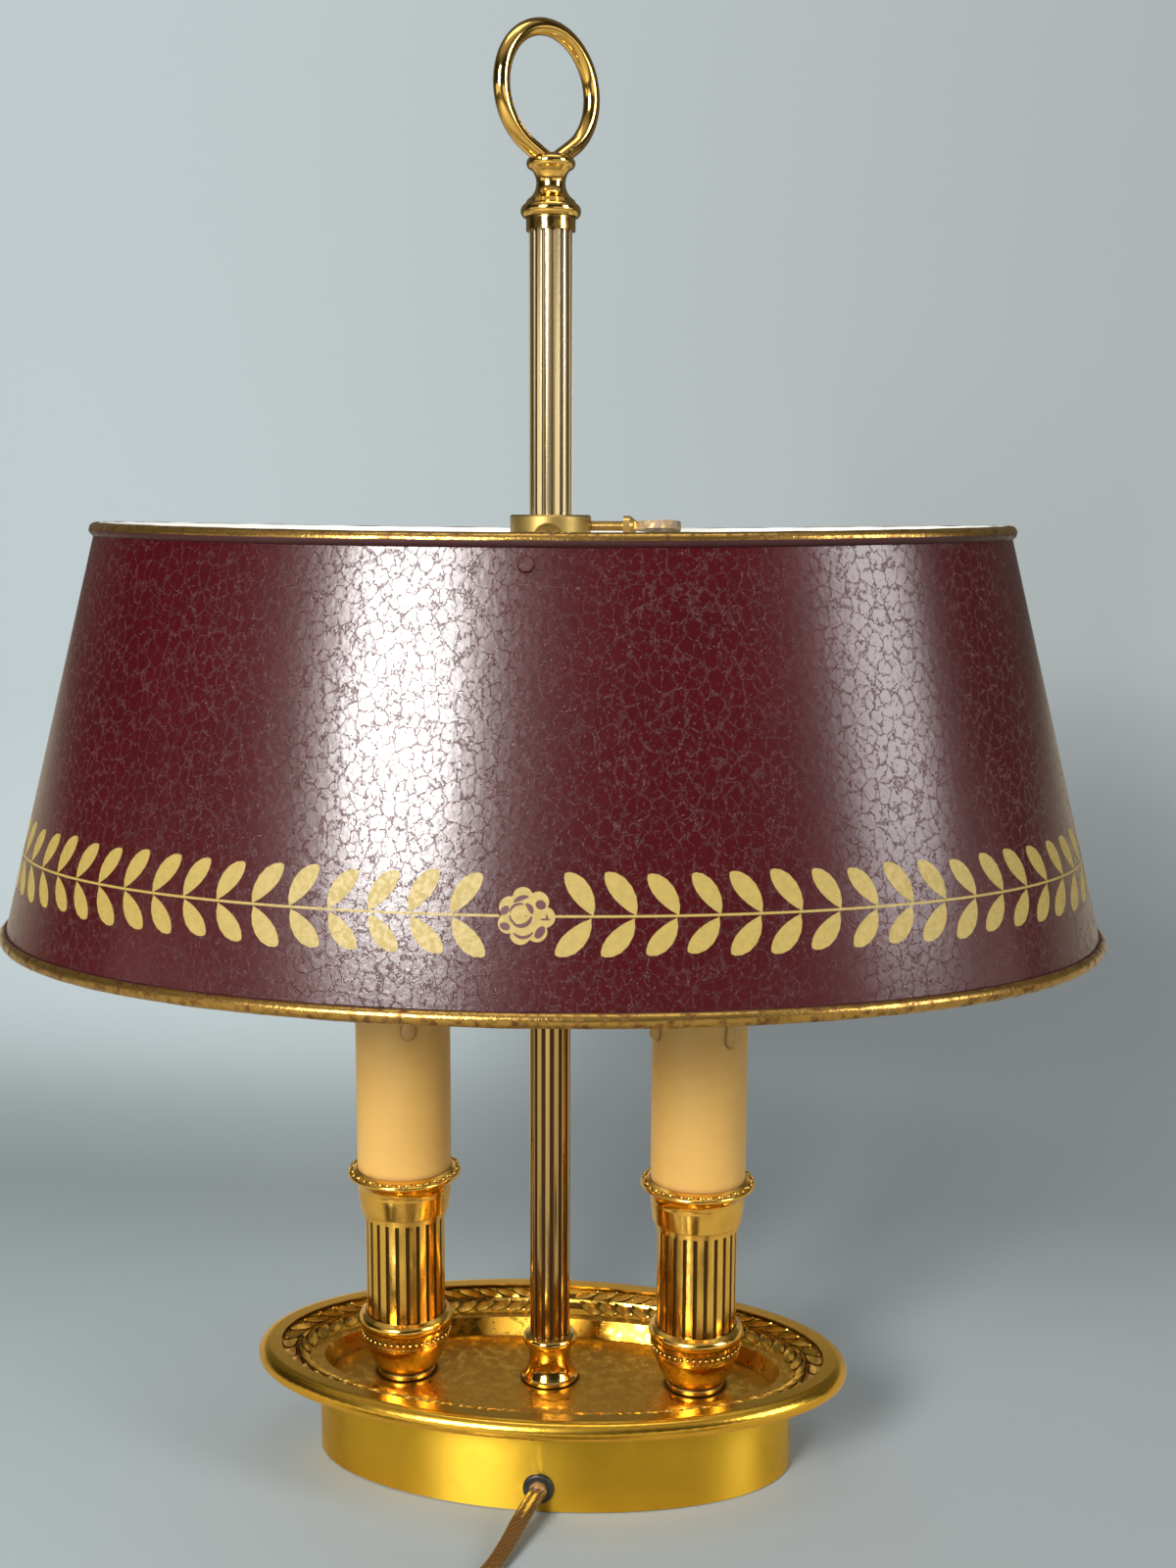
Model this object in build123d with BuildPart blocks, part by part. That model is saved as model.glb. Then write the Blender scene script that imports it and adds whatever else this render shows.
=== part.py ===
from build123d import *
import os
from math import atan2, cos, degrees, hypot, pi, radians, sin, tan

# Bouillotte lamp, in millimetres. +X runs along the long axis of the oval base, -Y is the front, where
# the cord leaves, and +Z is up. The origin is on the column's axis, on the surface the lamp stands on.

# ---------------------------------------------------------------- fits
running_gap = 0.08  # radial, between pieces that slide or turn on each other
moving_gap = 0.3  # between other pieces that move apart
hole_gap = 0.2  # radial, round rods and tubes that pass through a hole
loose_gap = 0.4  # round plates that drop into the skirt

# ---------------------------------------------------------------- tray
tray_length = 190.6
tray_width = 104.2
tray_height = 36.0  # top of the flange
tray_depth = 11.0  # from the flange's top down to the recessed floor
tray_floor_wall = 1.2
flange_width = 7.4
flange_thickness = 5.2
flange_top_round = 3.4
flange_bottom_round = 1.2
leaf_band_width = 10.0
leaf_band_outer_depth = 1.2  # the band slopes down from here
leaf_band_inner_depth = 5.6  # to here
step_width = 3.8
recess_slope_run = 2.6  # how far the recess wall leans in
skirt_seat_depth = 7.1  # the flat that the skirt stands against, below the flange's top
skirt_seat_inset = 12.0

# ---------------------------------------------------------------- skirt and what closes it
skirt_length = 153.0
skirt_width = 76.0
skirt_wall = 0.8
skirt_shift = 1.2  # the skirt is soldered on a little off the tray's centre
skirt_lift = 0.4  # its edge stays clear of the table, on the felt
felt_thickness = 1.5
bottom_plate_thickness = 0.8
ballast_thickness = 10.0
ballast_inset = 2.0
ballast_notch_width = 28.0  # the wiring bay at the front
ballast_notch_depth = 28.0
plate_screw_radius = 1.5
plate_screw_length = 7.0
plate_screw_head_radius = 2.75
plate_screw_head_height = 1.0
plate_screw_spread = 50.0
plate_screw_back = 18.0

# ---------------------------------------------------------------- tie rod
tie_rod_radius = 3.0
nut_flats = 10.0
nut_height = 5.0
washer_radius = 7.0
washer_height = 1.2
spacer_radius = 6.0
rod_foot_gap = 0.4  # between the nut and the bottom plate
rod_grip = 9.0  # how far the rod reaches into the finial

# ---------------------------------------------------------------- column
column_radius = 6.4
column_bore_radius = 5.2
column_top = 384.1  # under the finial's collar
column_flute_count = 14
column_flute_radius = 1.0
column_flute_depth = 0.42
column_foot_height = 15.6
column_foot_radius = 9.1
column_neck_radius = 6.7
column_foot_torus_radius = 8.8
column_seat_depth = 3.6  # socket for the column in its foot

# ---------------------------------------------------------------- finial
finial_collar_radius = 7.3
finial_collar_height = 3.9
finial_low_torus_radius = 8.9
finial_neck_radius = 4.35
finial_high_torus_radius = 7.2
finial_height = 22.2
finial_seat_depth = 2.0  # socket for the column
ring_centre_radius = 17.6
ring_wire_radius = 2.45
ring_turn = 49.0  # degrees from +X towards +Y
ring_lean = 4.4  # degrees, in its own plane
ring_sink = 2.9  # how far the wire sits in the finial's top

# ---------------------------------------------------------------- candle holders
holder_spacing = 94.2  # centre to centre
bowl_height = 21.3
bowl_foot_radius = 9.3
bowl_rail_radius = 14.6
bowl_torus_radius = 15.2
shaft_radius = 12.7
shaft_wall = 1.7
shaft_seat_depth = 1.3
shaft_length = 37.0
shaft_flute_count = 24
shaft_flute_radius = 0.62
cup_seat_depth = 3.0  # the cup's hem covers the shaft's top
cup_hem_radius = 13.3
cup_body_radius = 15.0
cup_lip_radius = 18.1
cup_height = 16.0
cup_floor = 2.5
cup_ledge_height = 12.5  # ledge that the candle sleeve stands on
nipple_radius = 5.0
nipple_bore_radius = 4.0
nipple_nut_flats = 14.0
nipple_nut_height = 3.0
nipple_below_tray = 5.8
nipple_above_cup = 18.0

# ---------------------------------------------------------------- candles, sockets and bulbs
candle_radius = 15.0
candle_wall = 1.2
candle_length = 98.5
drip_radius = 1.5
drip_ball_radius = 2.3
socket_radius = 12.0
socket_length = 90.0
socket_lift = 6.0  # over the cup's seat for the shaft
socket_well_radius = 8.3
socket_well_depth = 30.0
shell_wall = 0.85
shell_length = 25.0
contact_radius = 3.0
contact_height = 1.2
bulb_cap_radius = 6.95
bulb_cap_length = 24.5
bulb_radius = 17.5
bulb_length = 84.0
bulb_wall = 0.8

# ---------------------------------------------------------------- shade
shade_turn = 2.9  # degrees that the shade sits turned on the column
shade_top_length = 272.8  # between the bead's centre lines
shade_top_width = 172.4
shade_bottom_length = 334.0
shade_bottom_width = 232.6
shade_top = 296.0  # height of the top bead's centre line
shade_height = 119.2  # between the bead's centre lines
shade_wall = 0.8
bead_radius = 2.1

collar_radius = 12.2
collar_height = 12.0
collar_above_shade = 5.6  # its top over the top bead's centre line
liner_wall = 0.6
liner_height = 11.0  # inside the collar
liner_flange = 1.2  # carries the collar
liner_flange_height = 0.5
arm_radius = 2.5
arm_root_radius = 4.4
arm_root_thickness = 1.6
arm_root_drop = 7.0  # below the collar's top
arm_end_drop = 7.0  # below the top bead's centre line
arm_tab_width = 10.0
arm_tab_height = 8.4
arm_tab_thickness = 1.5
rivet_radius = 1.5
rivet_head_radius = 2.3
rivet_head_height = 0.7

screw_radius = 1.5
screw_drop = 3.3  # its axis, below the collar's top
screw_shank = 9.7  # from the collar to the boss
screw_boss_radius = 3.1
screw_boss_length = 4.1
screw_wing_length = 13.3
screw_wing_width = 10.6
screw_wing_thickness = 2.4
screw_wing_turn = 8.0  # degrees from level
screw_pad_length = 1.6
screw_pad_radius = 1.4

# ---------------------------------------------------------------- wiring and cord
cord_radius = 2.75
grommet_height = 8.0  # its axis over the table
grommet_radius = 4.8
grommet_neck_radius = 3.7
grommet_flange = 1.3
inner_lead_length = 15.6
clamp_length = 5.0
clamp_width = 12.0
clamp_height = 12.0
clamp_inset = 3.0
block_length = 12.0
block_width = 18.0
block_rise = 3.0  # over the ballast
block_gap = 4.0  # to the clamp
wire_radius = 0.9
wire_spread = 1.4  # half the distance between a lamp's two wires

switch_length = 52.0
switch_width = 22.0
switch_height = 14.0
switch_wall = 1.6
switch_boss_length = 4.0
switch_boss_radius = 4.4
rocker_length = 14.0
rocker_width = 8.0
rocker_height = 7.6
rocker_proud = 1.4
rocker_tilt = 8.0  # degrees, pressed on one side
rocker_pin_radius = 1.0
rocker_pin_length = 1.8

plug_length = 35.0
plug_width = 26.0
plug_thickness = 13.5
plug_nose = 7.0
pin_radius = 2.0
pin_length = 19.0
pin_spacing = 18.6

coil_radius = 30.0  # middle of the turns
coil_half_width = 11.0
coil_thickness = 10.4
coil_centre = (22.0, -146.5)
coil_exit_angle = -60.0  # where the tail leaves the turns, in degrees from +X
coil_stub = 22.0  # straight ends that leave the turns
coil_skin = 0.1  # how far the straight ends stay inside the coil's outline
tie_wall = 0.6
tie_width = 9.0
tie_angle = 140.0  # where the tie goes round the coil, in degrees from +X

# ---------------------------------------------------------------- derived heights and places
tray_floor = tray_height - tray_depth
tray_under = tray_floor - tray_floor_wall
lip_under = tray_height - flange_thickness
skirt_top = tray_height - skirt_seat_depth
leaf_inset = flange_width
step_inset = leaf_inset + leaf_band_width
recess_inset = step_inset + step_width
floor_inset = recess_inset + recess_slope_run
plate_base = felt_thickness
ballast_base = plate_base + bottom_plate_thickness
ballast_top = ballast_base + ballast_thickness
counterbore_top = ballast_base + rod_foot_gap + nut_height + washer_height
column_base = tray_floor + column_foot_height - column_seat_depth
finial_top = column_top + finial_height
rod_bottom = ballast_base + rod_foot_gap
rod_top = column_top + rod_grip
shaft_base = tray_floor + bowl_height - shaft_seat_depth
shaft_top = shaft_base + shaft_length
cup_base = shaft_top - cup_seat_depth
cup_top = cup_base + cup_height
candle_base = cup_base + cup_ledge_height
candle_top = candle_base + candle_length
nipple_top = shaft_top + nipple_above_cup
socket_base = shaft_top + socket_lift
socket_top = socket_base + socket_length
bulb_base = socket_top + moving_gap
skirt_front = -skirt_width / 2
shade_bottom = shade_top - shade_height
collar_top = shade_top + collar_above_shade
collar_base = collar_top - collar_height
liner_outer = column_radius + running_gap + liner_wall
screw_height = collar_top - screw_drop
block_height = ballast_thickness + block_rise
shade_x = Vector(cos(radians(shade_turn)), sin(radians(shade_turn)), 0)
shade_y = Vector(-sin(radians(shade_turn)), cos(radians(shade_turn)), 0)
sides = {"left": -1, "right": 1}

os.makedirs("parts", exist_ok=True)


def save(builder, name):
    """Label a finished piece and write it."""
    builder.part.label = name
    export_step(builder.part, f"parts/{name}.step")


def tray_oval(inset):
    """The tray's outline, drawn in by inset."""
    return Ellipse(tray_length / 2 - inset, tray_width / 2 - inset)


def skirt_oval(inset, mode=Mode.ADD):
    """The skirt's outline, drawn in by inset."""
    return Ellipse(skirt_length / 2 - inset, skirt_width / 2 - inset, mode=mode)


def skirt_plane(height):
    """Level plane on the skirt's own axis."""
    return Plane((skirt_shift, 0, height))


def upright(x, base):
    """Plane that holds the profile of a turned piece: across is the radius, up is the height."""
    return Plane(origin=(x, 0, base), x_dir=(1, 0, 0), z_dir=(0, -1, 0))


def turning_axis(x):
    """Upright axis of a turned piece."""
    return Axis((x, 0, 0), (0, 0, 1))


def shade_plane(height):
    """Level plane that is turned with the shade."""
    return Plane(origin=(0, 0, height), x_dir=shade_x, z_dir=(0, 0, 1))


# ---------------------------------------------------------------- tray
with BuildPart() as tray:
    with BuildSketch(Plane.XY.offset(lip_under)):
        tray_oval(0)
    extrude(amount=flange_thickness)
    fillet(tray.edges().group_by(Axis.Z)[-1], radius=flange_top_round)
    fillet(tray.edges().group_by(Axis.Z)[0], radius=flange_bottom_round)
    with BuildSketch(Plane.XY.offset(skirt_top)):
        tray_oval(skirt_seat_inset)
    extrude(amount=lip_under - skirt_top)
    with BuildSketch(Plane.XY.offset(tray_under)):
        tray_oval(floor_inset - tray_floor_wall)
    with BuildSketch(Plane.XY.offset(skirt_top)):
        tray_oval(recess_inset)
    loft()
    with BuildSketch(Plane.XY.offset(tray_height - leaf_band_outer_depth)):
        tray_oval(leaf_inset)
    extrude(amount=tray_depth, mode=Mode.SUBTRACT)
    with BuildSketch(Plane.XY.offset(tray_height - leaf_band_inner_depth)):
        tray_oval(step_inset)
    with BuildSketch(Plane.XY.offset(tray_height - leaf_band_outer_depth)):
        tray_oval(leaf_inset)
    loft(mode=Mode.SUBTRACT)
    with BuildSketch(Plane.XY.offset(tray_floor)):
        tray_oval(floor_inset)
    with BuildSketch(Plane.XY.offset(tray_height - leaf_band_inner_depth)):
        tray_oval(recess_inset)
    loft(mode=Mode.SUBTRACT)
    with BuildSketch(Plane.XY.offset(tray_under)):
        Circle(tie_rod_radius + hole_gap)
        with Locations((-holder_spacing / 2, 0), (holder_spacing / 2, 0)):
            Circle(nipple_radius + hole_gap)
    extrude(amount=tray_floor_wall, mode=Mode.SUBTRACT)
save(tray, "tray")

# ---------------------------------------------------------------- skirt
cord_hole_plane = Plane(origin=(skirt_shift, skirt_front, grommet_height), x_dir=(1, 0, 0), z_dir=(0, -1, 0))
with BuildPart() as skirt:
    with BuildSketch(skirt_plane(skirt_lift)):
        skirt_oval(0)
        skirt_oval(skirt_wall, mode=Mode.SUBTRACT)
    extrude(amount=skirt_top - skirt_lift)
    with BuildSketch(cord_hole_plane):
        Circle(grommet_neck_radius)
    extrude(amount=-3 * skirt_wall, both=True, mode=Mode.SUBTRACT)
save(skirt, "skirt")

# ---------------------------------------------------------------- felt, bottom plate and ballast
screw_spots = [
    (-plate_screw_spread, 0),
    (plate_screw_spread, 0),
    (0, plate_screw_back),
]
with BuildPart() as felt_pad:
    with BuildSketch(skirt_plane(0)):
        skirt_oval(skirt_wall + loose_gap)
    extrude(amount=felt_thickness)
    with BuildSketch(skirt_plane(felt_thickness - plate_screw_head_height - hole_gap)):
        with Locations(*screw_spots):
            Circle(plate_screw_head_radius + hole_gap)
    extrude(amount=felt_thickness, mode=Mode.SUBTRACT)
save(felt_pad, "felt_pad")

with BuildPart() as bottom_plate:
    with BuildSketch(skirt_plane(plate_base)):
        skirt_oval(skirt_wall + loose_gap)
        with Locations(*screw_spots):
            Circle(plate_screw_radius + hole_gap, mode=Mode.SUBTRACT)
    extrude(amount=bottom_plate_thickness)
save(bottom_plate, "bottom_plate")

with BuildPart() as plate_screws:
    with BuildSketch(skirt_plane(plate_base - plate_screw_head_height)):
        with Locations(*screw_spots):
            Circle(plate_screw_head_radius)
    extrude(amount=plate_screw_head_height)
    with BuildSketch(skirt_plane(plate_base)):
        with Locations(*screw_spots):
            Circle(plate_screw_radius)
    extrude(amount=plate_screw_length)
save(plate_screws, "plate_screws")

with BuildPart() as ballast:
    with BuildSketch(skirt_plane(ballast_base)):
        skirt_oval(skirt_wall + ballast_inset)
        with Locations((0, skirt_front)):
            Rectangle(
                ballast_notch_width,
                ballast_notch_depth,
                align=(Align.CENTER, Align.MIN),
                mode=Mode.SUBTRACT,
            )
        with Locations(*screw_spots):
            Circle(plate_screw_radius, mode=Mode.SUBTRACT)
    extrude(amount=ballast_thickness)
    with BuildSketch(Plane.XY.offset(ballast_base)):
        Circle(tie_rod_radius + hole_gap)
    extrude(amount=ballast_thickness, mode=Mode.SUBTRACT)
    with BuildSketch(Plane.XY.offset(ballast_base)):
        Circle(washer_radius + hole_gap)
    extrude(amount=counterbore_top - ballast_base, mode=Mode.SUBTRACT)
save(ballast, "ballast")

# ---------------------------------------------------------------- tie rod, nut, washer, spacer
with BuildPart() as tie_rod:
    with BuildSketch(Plane.XY.offset(rod_bottom)):
        Circle(tie_rod_radius)
    extrude(amount=rod_top - rod_bottom)
save(tie_rod, "tie_rod")

with BuildPart() as tie_rod_nut:
    with BuildSketch(Plane.XY.offset(rod_bottom)):
        RegularPolygon(nut_flats / 2, 6, major_radius=False)
        Circle(tie_rod_radius, mode=Mode.SUBTRACT)
    extrude(amount=nut_height)
save(tie_rod_nut, "tie_rod_nut")

with BuildPart() as tie_rod_washer:
    with BuildSketch(Plane.XY.offset(rod_bottom + nut_height)):
        Circle(washer_radius)
        Circle(tie_rod_radius + hole_gap, mode=Mode.SUBTRACT)
    extrude(amount=washer_height)
save(tie_rod_washer, "tie_rod_washer")

with BuildPart() as spacer_tube:
    with BuildSketch(Plane.XY.offset(ballast_top)):
        Circle(spacer_radius)
        Circle(tie_rod_radius + hole_gap, mode=Mode.SUBTRACT)
    extrude(amount=tray_under - ballast_top)
save(spacer_tube, "spacer_tube")

# ---------------------------------------------------------------- column and its foot
with BuildPart() as column_foot:
    with BuildSketch(upright(0, tray_floor)):
        with BuildLine():
            bore = tie_rod_radius + hole_gap
            Polyline(
                (bore, 0),
                (column_foot_radius - 0.5, 0),
                (column_foot_radius, 0.5),
                (column_foot_radius, 1.4),
                (column_foot_radius - 0.6, 2.0),
            )
            cove_top = (column_neck_radius + 0.7, column_foot_height - 3.8)
            ThreePointArc(
                (column_foot_radius - 0.6, 2.0),
                (column_neck_radius, column_foot_height * 0.48),
                cove_top,
            )
            torus_low = (column_foot_torus_radius - 0.7, column_foot_height - 3.2)
            torus_high = (column_foot_torus_radius - 0.7, column_foot_height - 0.3)
            Line(cove_top, torus_low)
            ThreePointArc(
                torus_low,
                (column_foot_torus_radius, column_foot_height - 1.75),
                torus_high,
            )
            Polyline(
                torus_high,
                (column_radius + hole_gap, column_foot_height),
                (bore, column_foot_height),
                (bore, 0),
            )
        make_face()
    revolve(axis=turning_axis(0))
    with BuildSketch(Plane.XY.offset(column_base)):
        Circle(column_radius)
    extrude(amount=column_seat_depth, mode=Mode.SUBTRACT)
save(column_foot, "column_foot")

flute_centre = column_radius + column_flute_radius - column_flute_depth
with BuildPart() as column:
    with BuildSketch(Plane.XY.offset(column_base)):
        Circle(column_radius)
        Circle(column_bore_radius, mode=Mode.SUBTRACT)
        with PolarLocations(flute_centre, column_flute_count):
            Circle(column_flute_radius, mode=Mode.SUBTRACT)
    extrude(amount=column_top + finial_seat_depth - column_base)
save(column, "column")

# ---------------------------------------------------------------- finial: vase and ring
ring_u = Vector(cos(radians(ring_turn)), sin(radians(ring_turn)), 0)
ring_rise = ring_centre_radius + ring_wire_radius - ring_sink
ring_centre = Vector(0, 0, finial_top + ring_rise * cos(radians(ring_lean)))
ring_centre = ring_centre - ring_u * (ring_rise * sin(radians(ring_lean)))
ring_plane = Plane(origin=ring_centre, x_dir=ring_u, z_dir=ring_u.cross(Vector(0, 0, 1)))
with BuildPart() as finial_ring:
    with Locations(ring_plane.location):
        Torus(ring_centre_radius, ring_wire_radius)
save(finial_ring, "finial_ring")

with BuildPart() as finial_vase:
    with BuildSketch(upright(0, column_top)):
        with BuildLine():
            low_torus = finial_collar_height + 1.9
            shoulder = (finial_low_torus_radius - 1.3, low_torus + 1.9)
            cove_low = (finial_low_torus_radius - 1.9, low_torus + 3.0)
            cove_high = (finial_high_torus_radius - 1.3, finial_height - 4.6)
            high_low = (finial_high_torus_radius - 0.9, finial_height - 4.6)
            high_top = (finial_high_torus_radius - 0.9, finial_height - 1.5)
            Polyline(
                (0, 0),
                (finial_collar_radius, 0),
                (finial_collar_radius, finial_collar_height),
                (finial_low_torus_radius - 0.8, finial_collar_height),
            )
            ThreePointArc(
                (finial_low_torus_radius - 0.8, finial_collar_height),
                (finial_low_torus_radius, low_torus),
                shoulder,
            )
            Line(shoulder, cove_low)
            ThreePointArc(cove_low, (finial_neck_radius, finial_height * 0.65), cove_high)
            Line(cove_high, high_low)
            ThreePointArc(high_low, (finial_high_torus_radius, finial_height - 3.0), high_top)
            ThreePointArc(high_top, (3.6, finial_height - 0.4), (0, finial_height))
            Line((0, finial_height), (0, 0))
        make_face()
    revolve(axis=turning_axis(0))
    with BuildSketch(Plane.XY.offset(column_top)):
        Circle(column_radius)
    extrude(amount=finial_seat_depth, mode=Mode.SUBTRACT)
    with BuildSketch(Plane.XY.offset(column_top)):
        Circle(tie_rod_radius)
    extrude(amount=rod_grip, mode=Mode.SUBTRACT)
    add(finial_ring.part, mode=Mode.SUBTRACT)
save(finial_vase, "finial_vase")


# ---------------------------------------------------------------- candle holders
def make_bowl(x):
    """Turned bowl with a bead band, from the tray's floor up to the shaft's seat."""
    with BuildPart() as bowl:
        with BuildSketch(upright(x, tray_floor)):
            with BuildLine():
                bore = nipple_radius + hole_gap
                band_low = bowl_height - 9.3
                rail = (bowl_rail_radius, bowl_height - 4.1)
                torus_low = (bowl_torus_radius - 0.8, bowl_height - 4.1)
                torus_high = (bowl_torus_radius - 0.8, bowl_height - 0.7)
                Polyline(
                    (bore, 0),
                    (bowl_foot_radius - 0.4, 0),
                    (bowl_foot_radius, 0.5),
                    (bowl_foot_radius, 1.5),
                    (bowl_foot_radius - 0.5, 2.1),
                    (bowl_foot_radius + 0.3, 2.6),
                )
                ThreePointArc(
                    (bowl_foot_radius + 0.3, 2.6),
                    (bowl_rail_radius - 2.5, bowl_height * 0.34),
                    (bowl_rail_radius - 1.3, band_low),
                )
                Polyline(
                    (bowl_rail_radius - 1.3, band_low),
                    (bowl_rail_radius - 0.5, band_low),
                    (bowl_rail_radius - 0.5, band_low + 1.0),
                    (bowl_rail_radius - 0.7, band_low + 1.2),
                    (bowl_rail_radius - 0.7, bowl_height - 5.1),
                    (bowl_rail_radius, bowl_height - 5.1),
                    rail,
                    torus_low,
                )
                ThreePointArc(torus_low, (bowl_torus_radius, bowl_height - 2.4), torus_high)
                Polyline(
                    torus_high,
                    (shaft_radius + 0.5, bowl_height),
                    (bore, bowl_height),
                    (bore, 0),
                )
            make_face()
        revolve(axis=turning_axis(x))
        with BuildSketch(Plane((x, 0, shaft_base))):
            Circle(shaft_radius)
        extrude(amount=shaft_seat_depth, mode=Mode.SUBTRACT)
    return bowl


def make_shaft(x):
    """Fluted sleeve between bowl and cup."""
    with BuildPart() as shaft:
        with BuildSketch(Plane((x, 0, shaft_base))):
            Circle(shaft_radius)
            Circle(shaft_radius - shaft_wall, mode=Mode.SUBTRACT)
            with PolarLocations(shaft_radius, shaft_flute_count):
                Circle(shaft_flute_radius, mode=Mode.SUBTRACT)
        extrude(amount=shaft_length)
    return shaft


def make_cup(x):
    """Bell-shaped capital: a hem over the shaft, a flared body and a lip round the candle sleeve."""
    with BuildPart() as cup:
        with BuildSketch(upright(x, cup_base)):
            with BuildLine():
                bore = nipple_radius + hole_gap
                lip_low = (cup_lip_radius - 0.9, cup_height - 2.7)
                lip_high = (cup_lip_radius - 0.9, cup_height - 1.0)
                Polyline(
                    (bore, cup_seat_depth),
                    (shaft_radius, cup_seat_depth),
                    (shaft_radius, 0),
                    (cup_hem_radius, 0),
                    (cup_hem_radius, 1.8),
                    (cup_hem_radius + 0.9, 2.2),
                    (cup_body_radius, cup_height - 7.3),
                )
                ThreePointArc(
                    (cup_body_radius, cup_height - 7.3),
                    (cup_body_radius + 0.6, cup_height - 4.4),
                    lip_low,
                )
                ThreePointArc(lip_low, (cup_lip_radius, cup_height - 1.85), lip_high)
                Polyline(
                    lip_high,
                    (candle_radius + hole_gap, cup_height),
                    (candle_radius + hole_gap, cup_ledge_height),
                    (socket_radius + 1.2, cup_ledge_height),
                    (socket_radius + 1.2, cup_seat_depth + cup_floor),
                    (bore, cup_seat_depth + cup_floor),
                    (bore, cup_seat_depth),
                )
            make_face()
        revolve(axis=turning_axis(x))
    return cup


# angle in degrees from +X, and length of each run of wax down from the candle's top
wax_runs = {
    -1: [(-168, 45.0), (-118, 30.0), (-72, 46.8), (-30, 36.0), (20, 24.0), (75, 41.0), (125, 33.0)],
    1: [(-150, 46.3), (-100, 28.0), (-48, 46.9), (0, 35.0), (45, 43.0), (95, 25.0), (152, 38.0)],
}


def make_candle(x, side):
    """Candle sleeve with runs of wax, each ending in a drop."""
    with BuildPart() as candle:
        with BuildSketch(Plane((x, 0, candle_base))):
            Circle(candle_radius)
        extrude(amount=candle_length)
        for angle, run in wax_runs[side]:
            turn = radians(angle)
            spot_x = x + candle_radius * cos(turn)
            spot_y = candle_radius * sin(turn)
            with BuildSketch(Plane((spot_x, spot_y, candle_top - run))):
                Circle(drip_radius)
            extrude(amount=run)
            with Locations((spot_x, spot_y, candle_top - run)):
                Sphere(drip_ball_radius)
        with BuildSketch(Plane((x, 0, candle_base))):
            Circle(candle_radius - candle_wall)
        extrude(amount=candle_length, mode=Mode.SUBTRACT)
    return candle


# ---------------------------------------------------------------- sockets and bulbs
def make_socket(x):
    """Candle-shaped lamp holder, screwed on the nipple and open at the top."""
    with BuildPart() as socket:
        with BuildSketch(Plane((x, 0, socket_base))):
            Circle(socket_radius)
        extrude(amount=socket_length)
        with BuildSketch(Plane((x, 0, socket_base))):
            Circle(nipple_radius)
        extrude(amount=nipple_top - socket_base, mode=Mode.SUBTRACT)
        with BuildSketch(Plane((x, 0, nipple_top))):
            Circle(nipple_bore_radius)
        extrude(amount=socket_top - nipple_top, mode=Mode.SUBTRACT)
        with BuildSketch(Plane((x, 0, socket_top - socket_well_depth))):
            Circle(socket_well_radius)
        extrude(amount=socket_well_depth, mode=Mode.SUBTRACT)
    return socket


def make_socket_shell(x):
    """Screw shell pressed into the socket's well."""
    with BuildPart() as shell:
        with BuildSketch(Plane((x, 0, socket_top - 1 - shell_length))):
            Circle(socket_well_radius)
            Circle(socket_well_radius - shell_wall, mode=Mode.SUBTRACT)
        extrude(amount=shell_length)
    return shell


def make_bulb_cap(x):
    """Metal cap of the bulb, with its end contact."""
    with BuildPart() as cap:
        with BuildSketch(Plane((x, 0, bulb_base - bulb_cap_length))):
            Circle(bulb_cap_radius)
        extrude(amount=bulb_cap_length)
        chamfer(cap.faces().sort_by(Axis.Z)[0].edges(), length=2.5)
        with BuildSketch(Plane((x, 0, bulb_base - bulb_cap_length - 1.0))):
            Circle(2.2)
        extrude(amount=1.0)
    return cap


def make_bulb_glass(x):
    """Candle bulb: a hollow glass that widens over its neck and closes to a tip."""
    with BuildPart() as glass:
        with BuildSketch(upright(x, bulb_base)):
            with BuildLine():
                neck = (bulb_cap_radius + 0.1, 0)
                tip = (0, bulb_length)
                Spline(
                    neck,
                    (bulb_radius * 0.62, bulb_length * 0.15),
                    (bulb_radius, bulb_length * 0.42),
                    (bulb_radius * 0.62, bulb_length * 0.78),
                    (bulb_radius * 0.2, bulb_length * 0.97),
                    tip,
                    tangents=[(0, 1), (-1, 0.1)],
                )
                Polyline(tip, (0, 0), neck)
            make_face()
        revolve(axis=turning_axis(x))
        with BuildSketch(upright(x, bulb_base)):
            with BuildLine():
                inner_neck = (bulb_cap_radius + 0.1 - bulb_wall, bulb_wall)
                inner_tip = (0, bulb_length - 1.5 * bulb_wall)
                Spline(
                    inner_neck,
                    (bulb_radius * 0.62 - bulb_wall, bulb_length * 0.15),
                    (bulb_radius - bulb_wall, bulb_length * 0.42),
                    (bulb_radius * 0.62 - bulb_wall, bulb_length * 0.78),
                    (bulb_radius * 0.2 - bulb_wall, bulb_length * 0.96),
                    inner_tip,
                    tangents=[(0, 1), (-1, 0.1)],
                )
                Polyline(inner_tip, (0, bulb_wall), inner_neck)
            make_face()
        revolve(axis=turning_axis(x), mode=Mode.SUBTRACT)
    return glass


# ---------------------------------------------------------------- wires inside the base
block_front = skirt_front + skirt_wall + clamp_inset + clamp_length + block_gap
block_mid = block_front + block_length / 2
block_base = ballast_base
wire_run_height = (ballast_top + tray_under - nipple_below_tray) / 2
wire_exit_height = ballast_top + wire_radius + hole_gap


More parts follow.
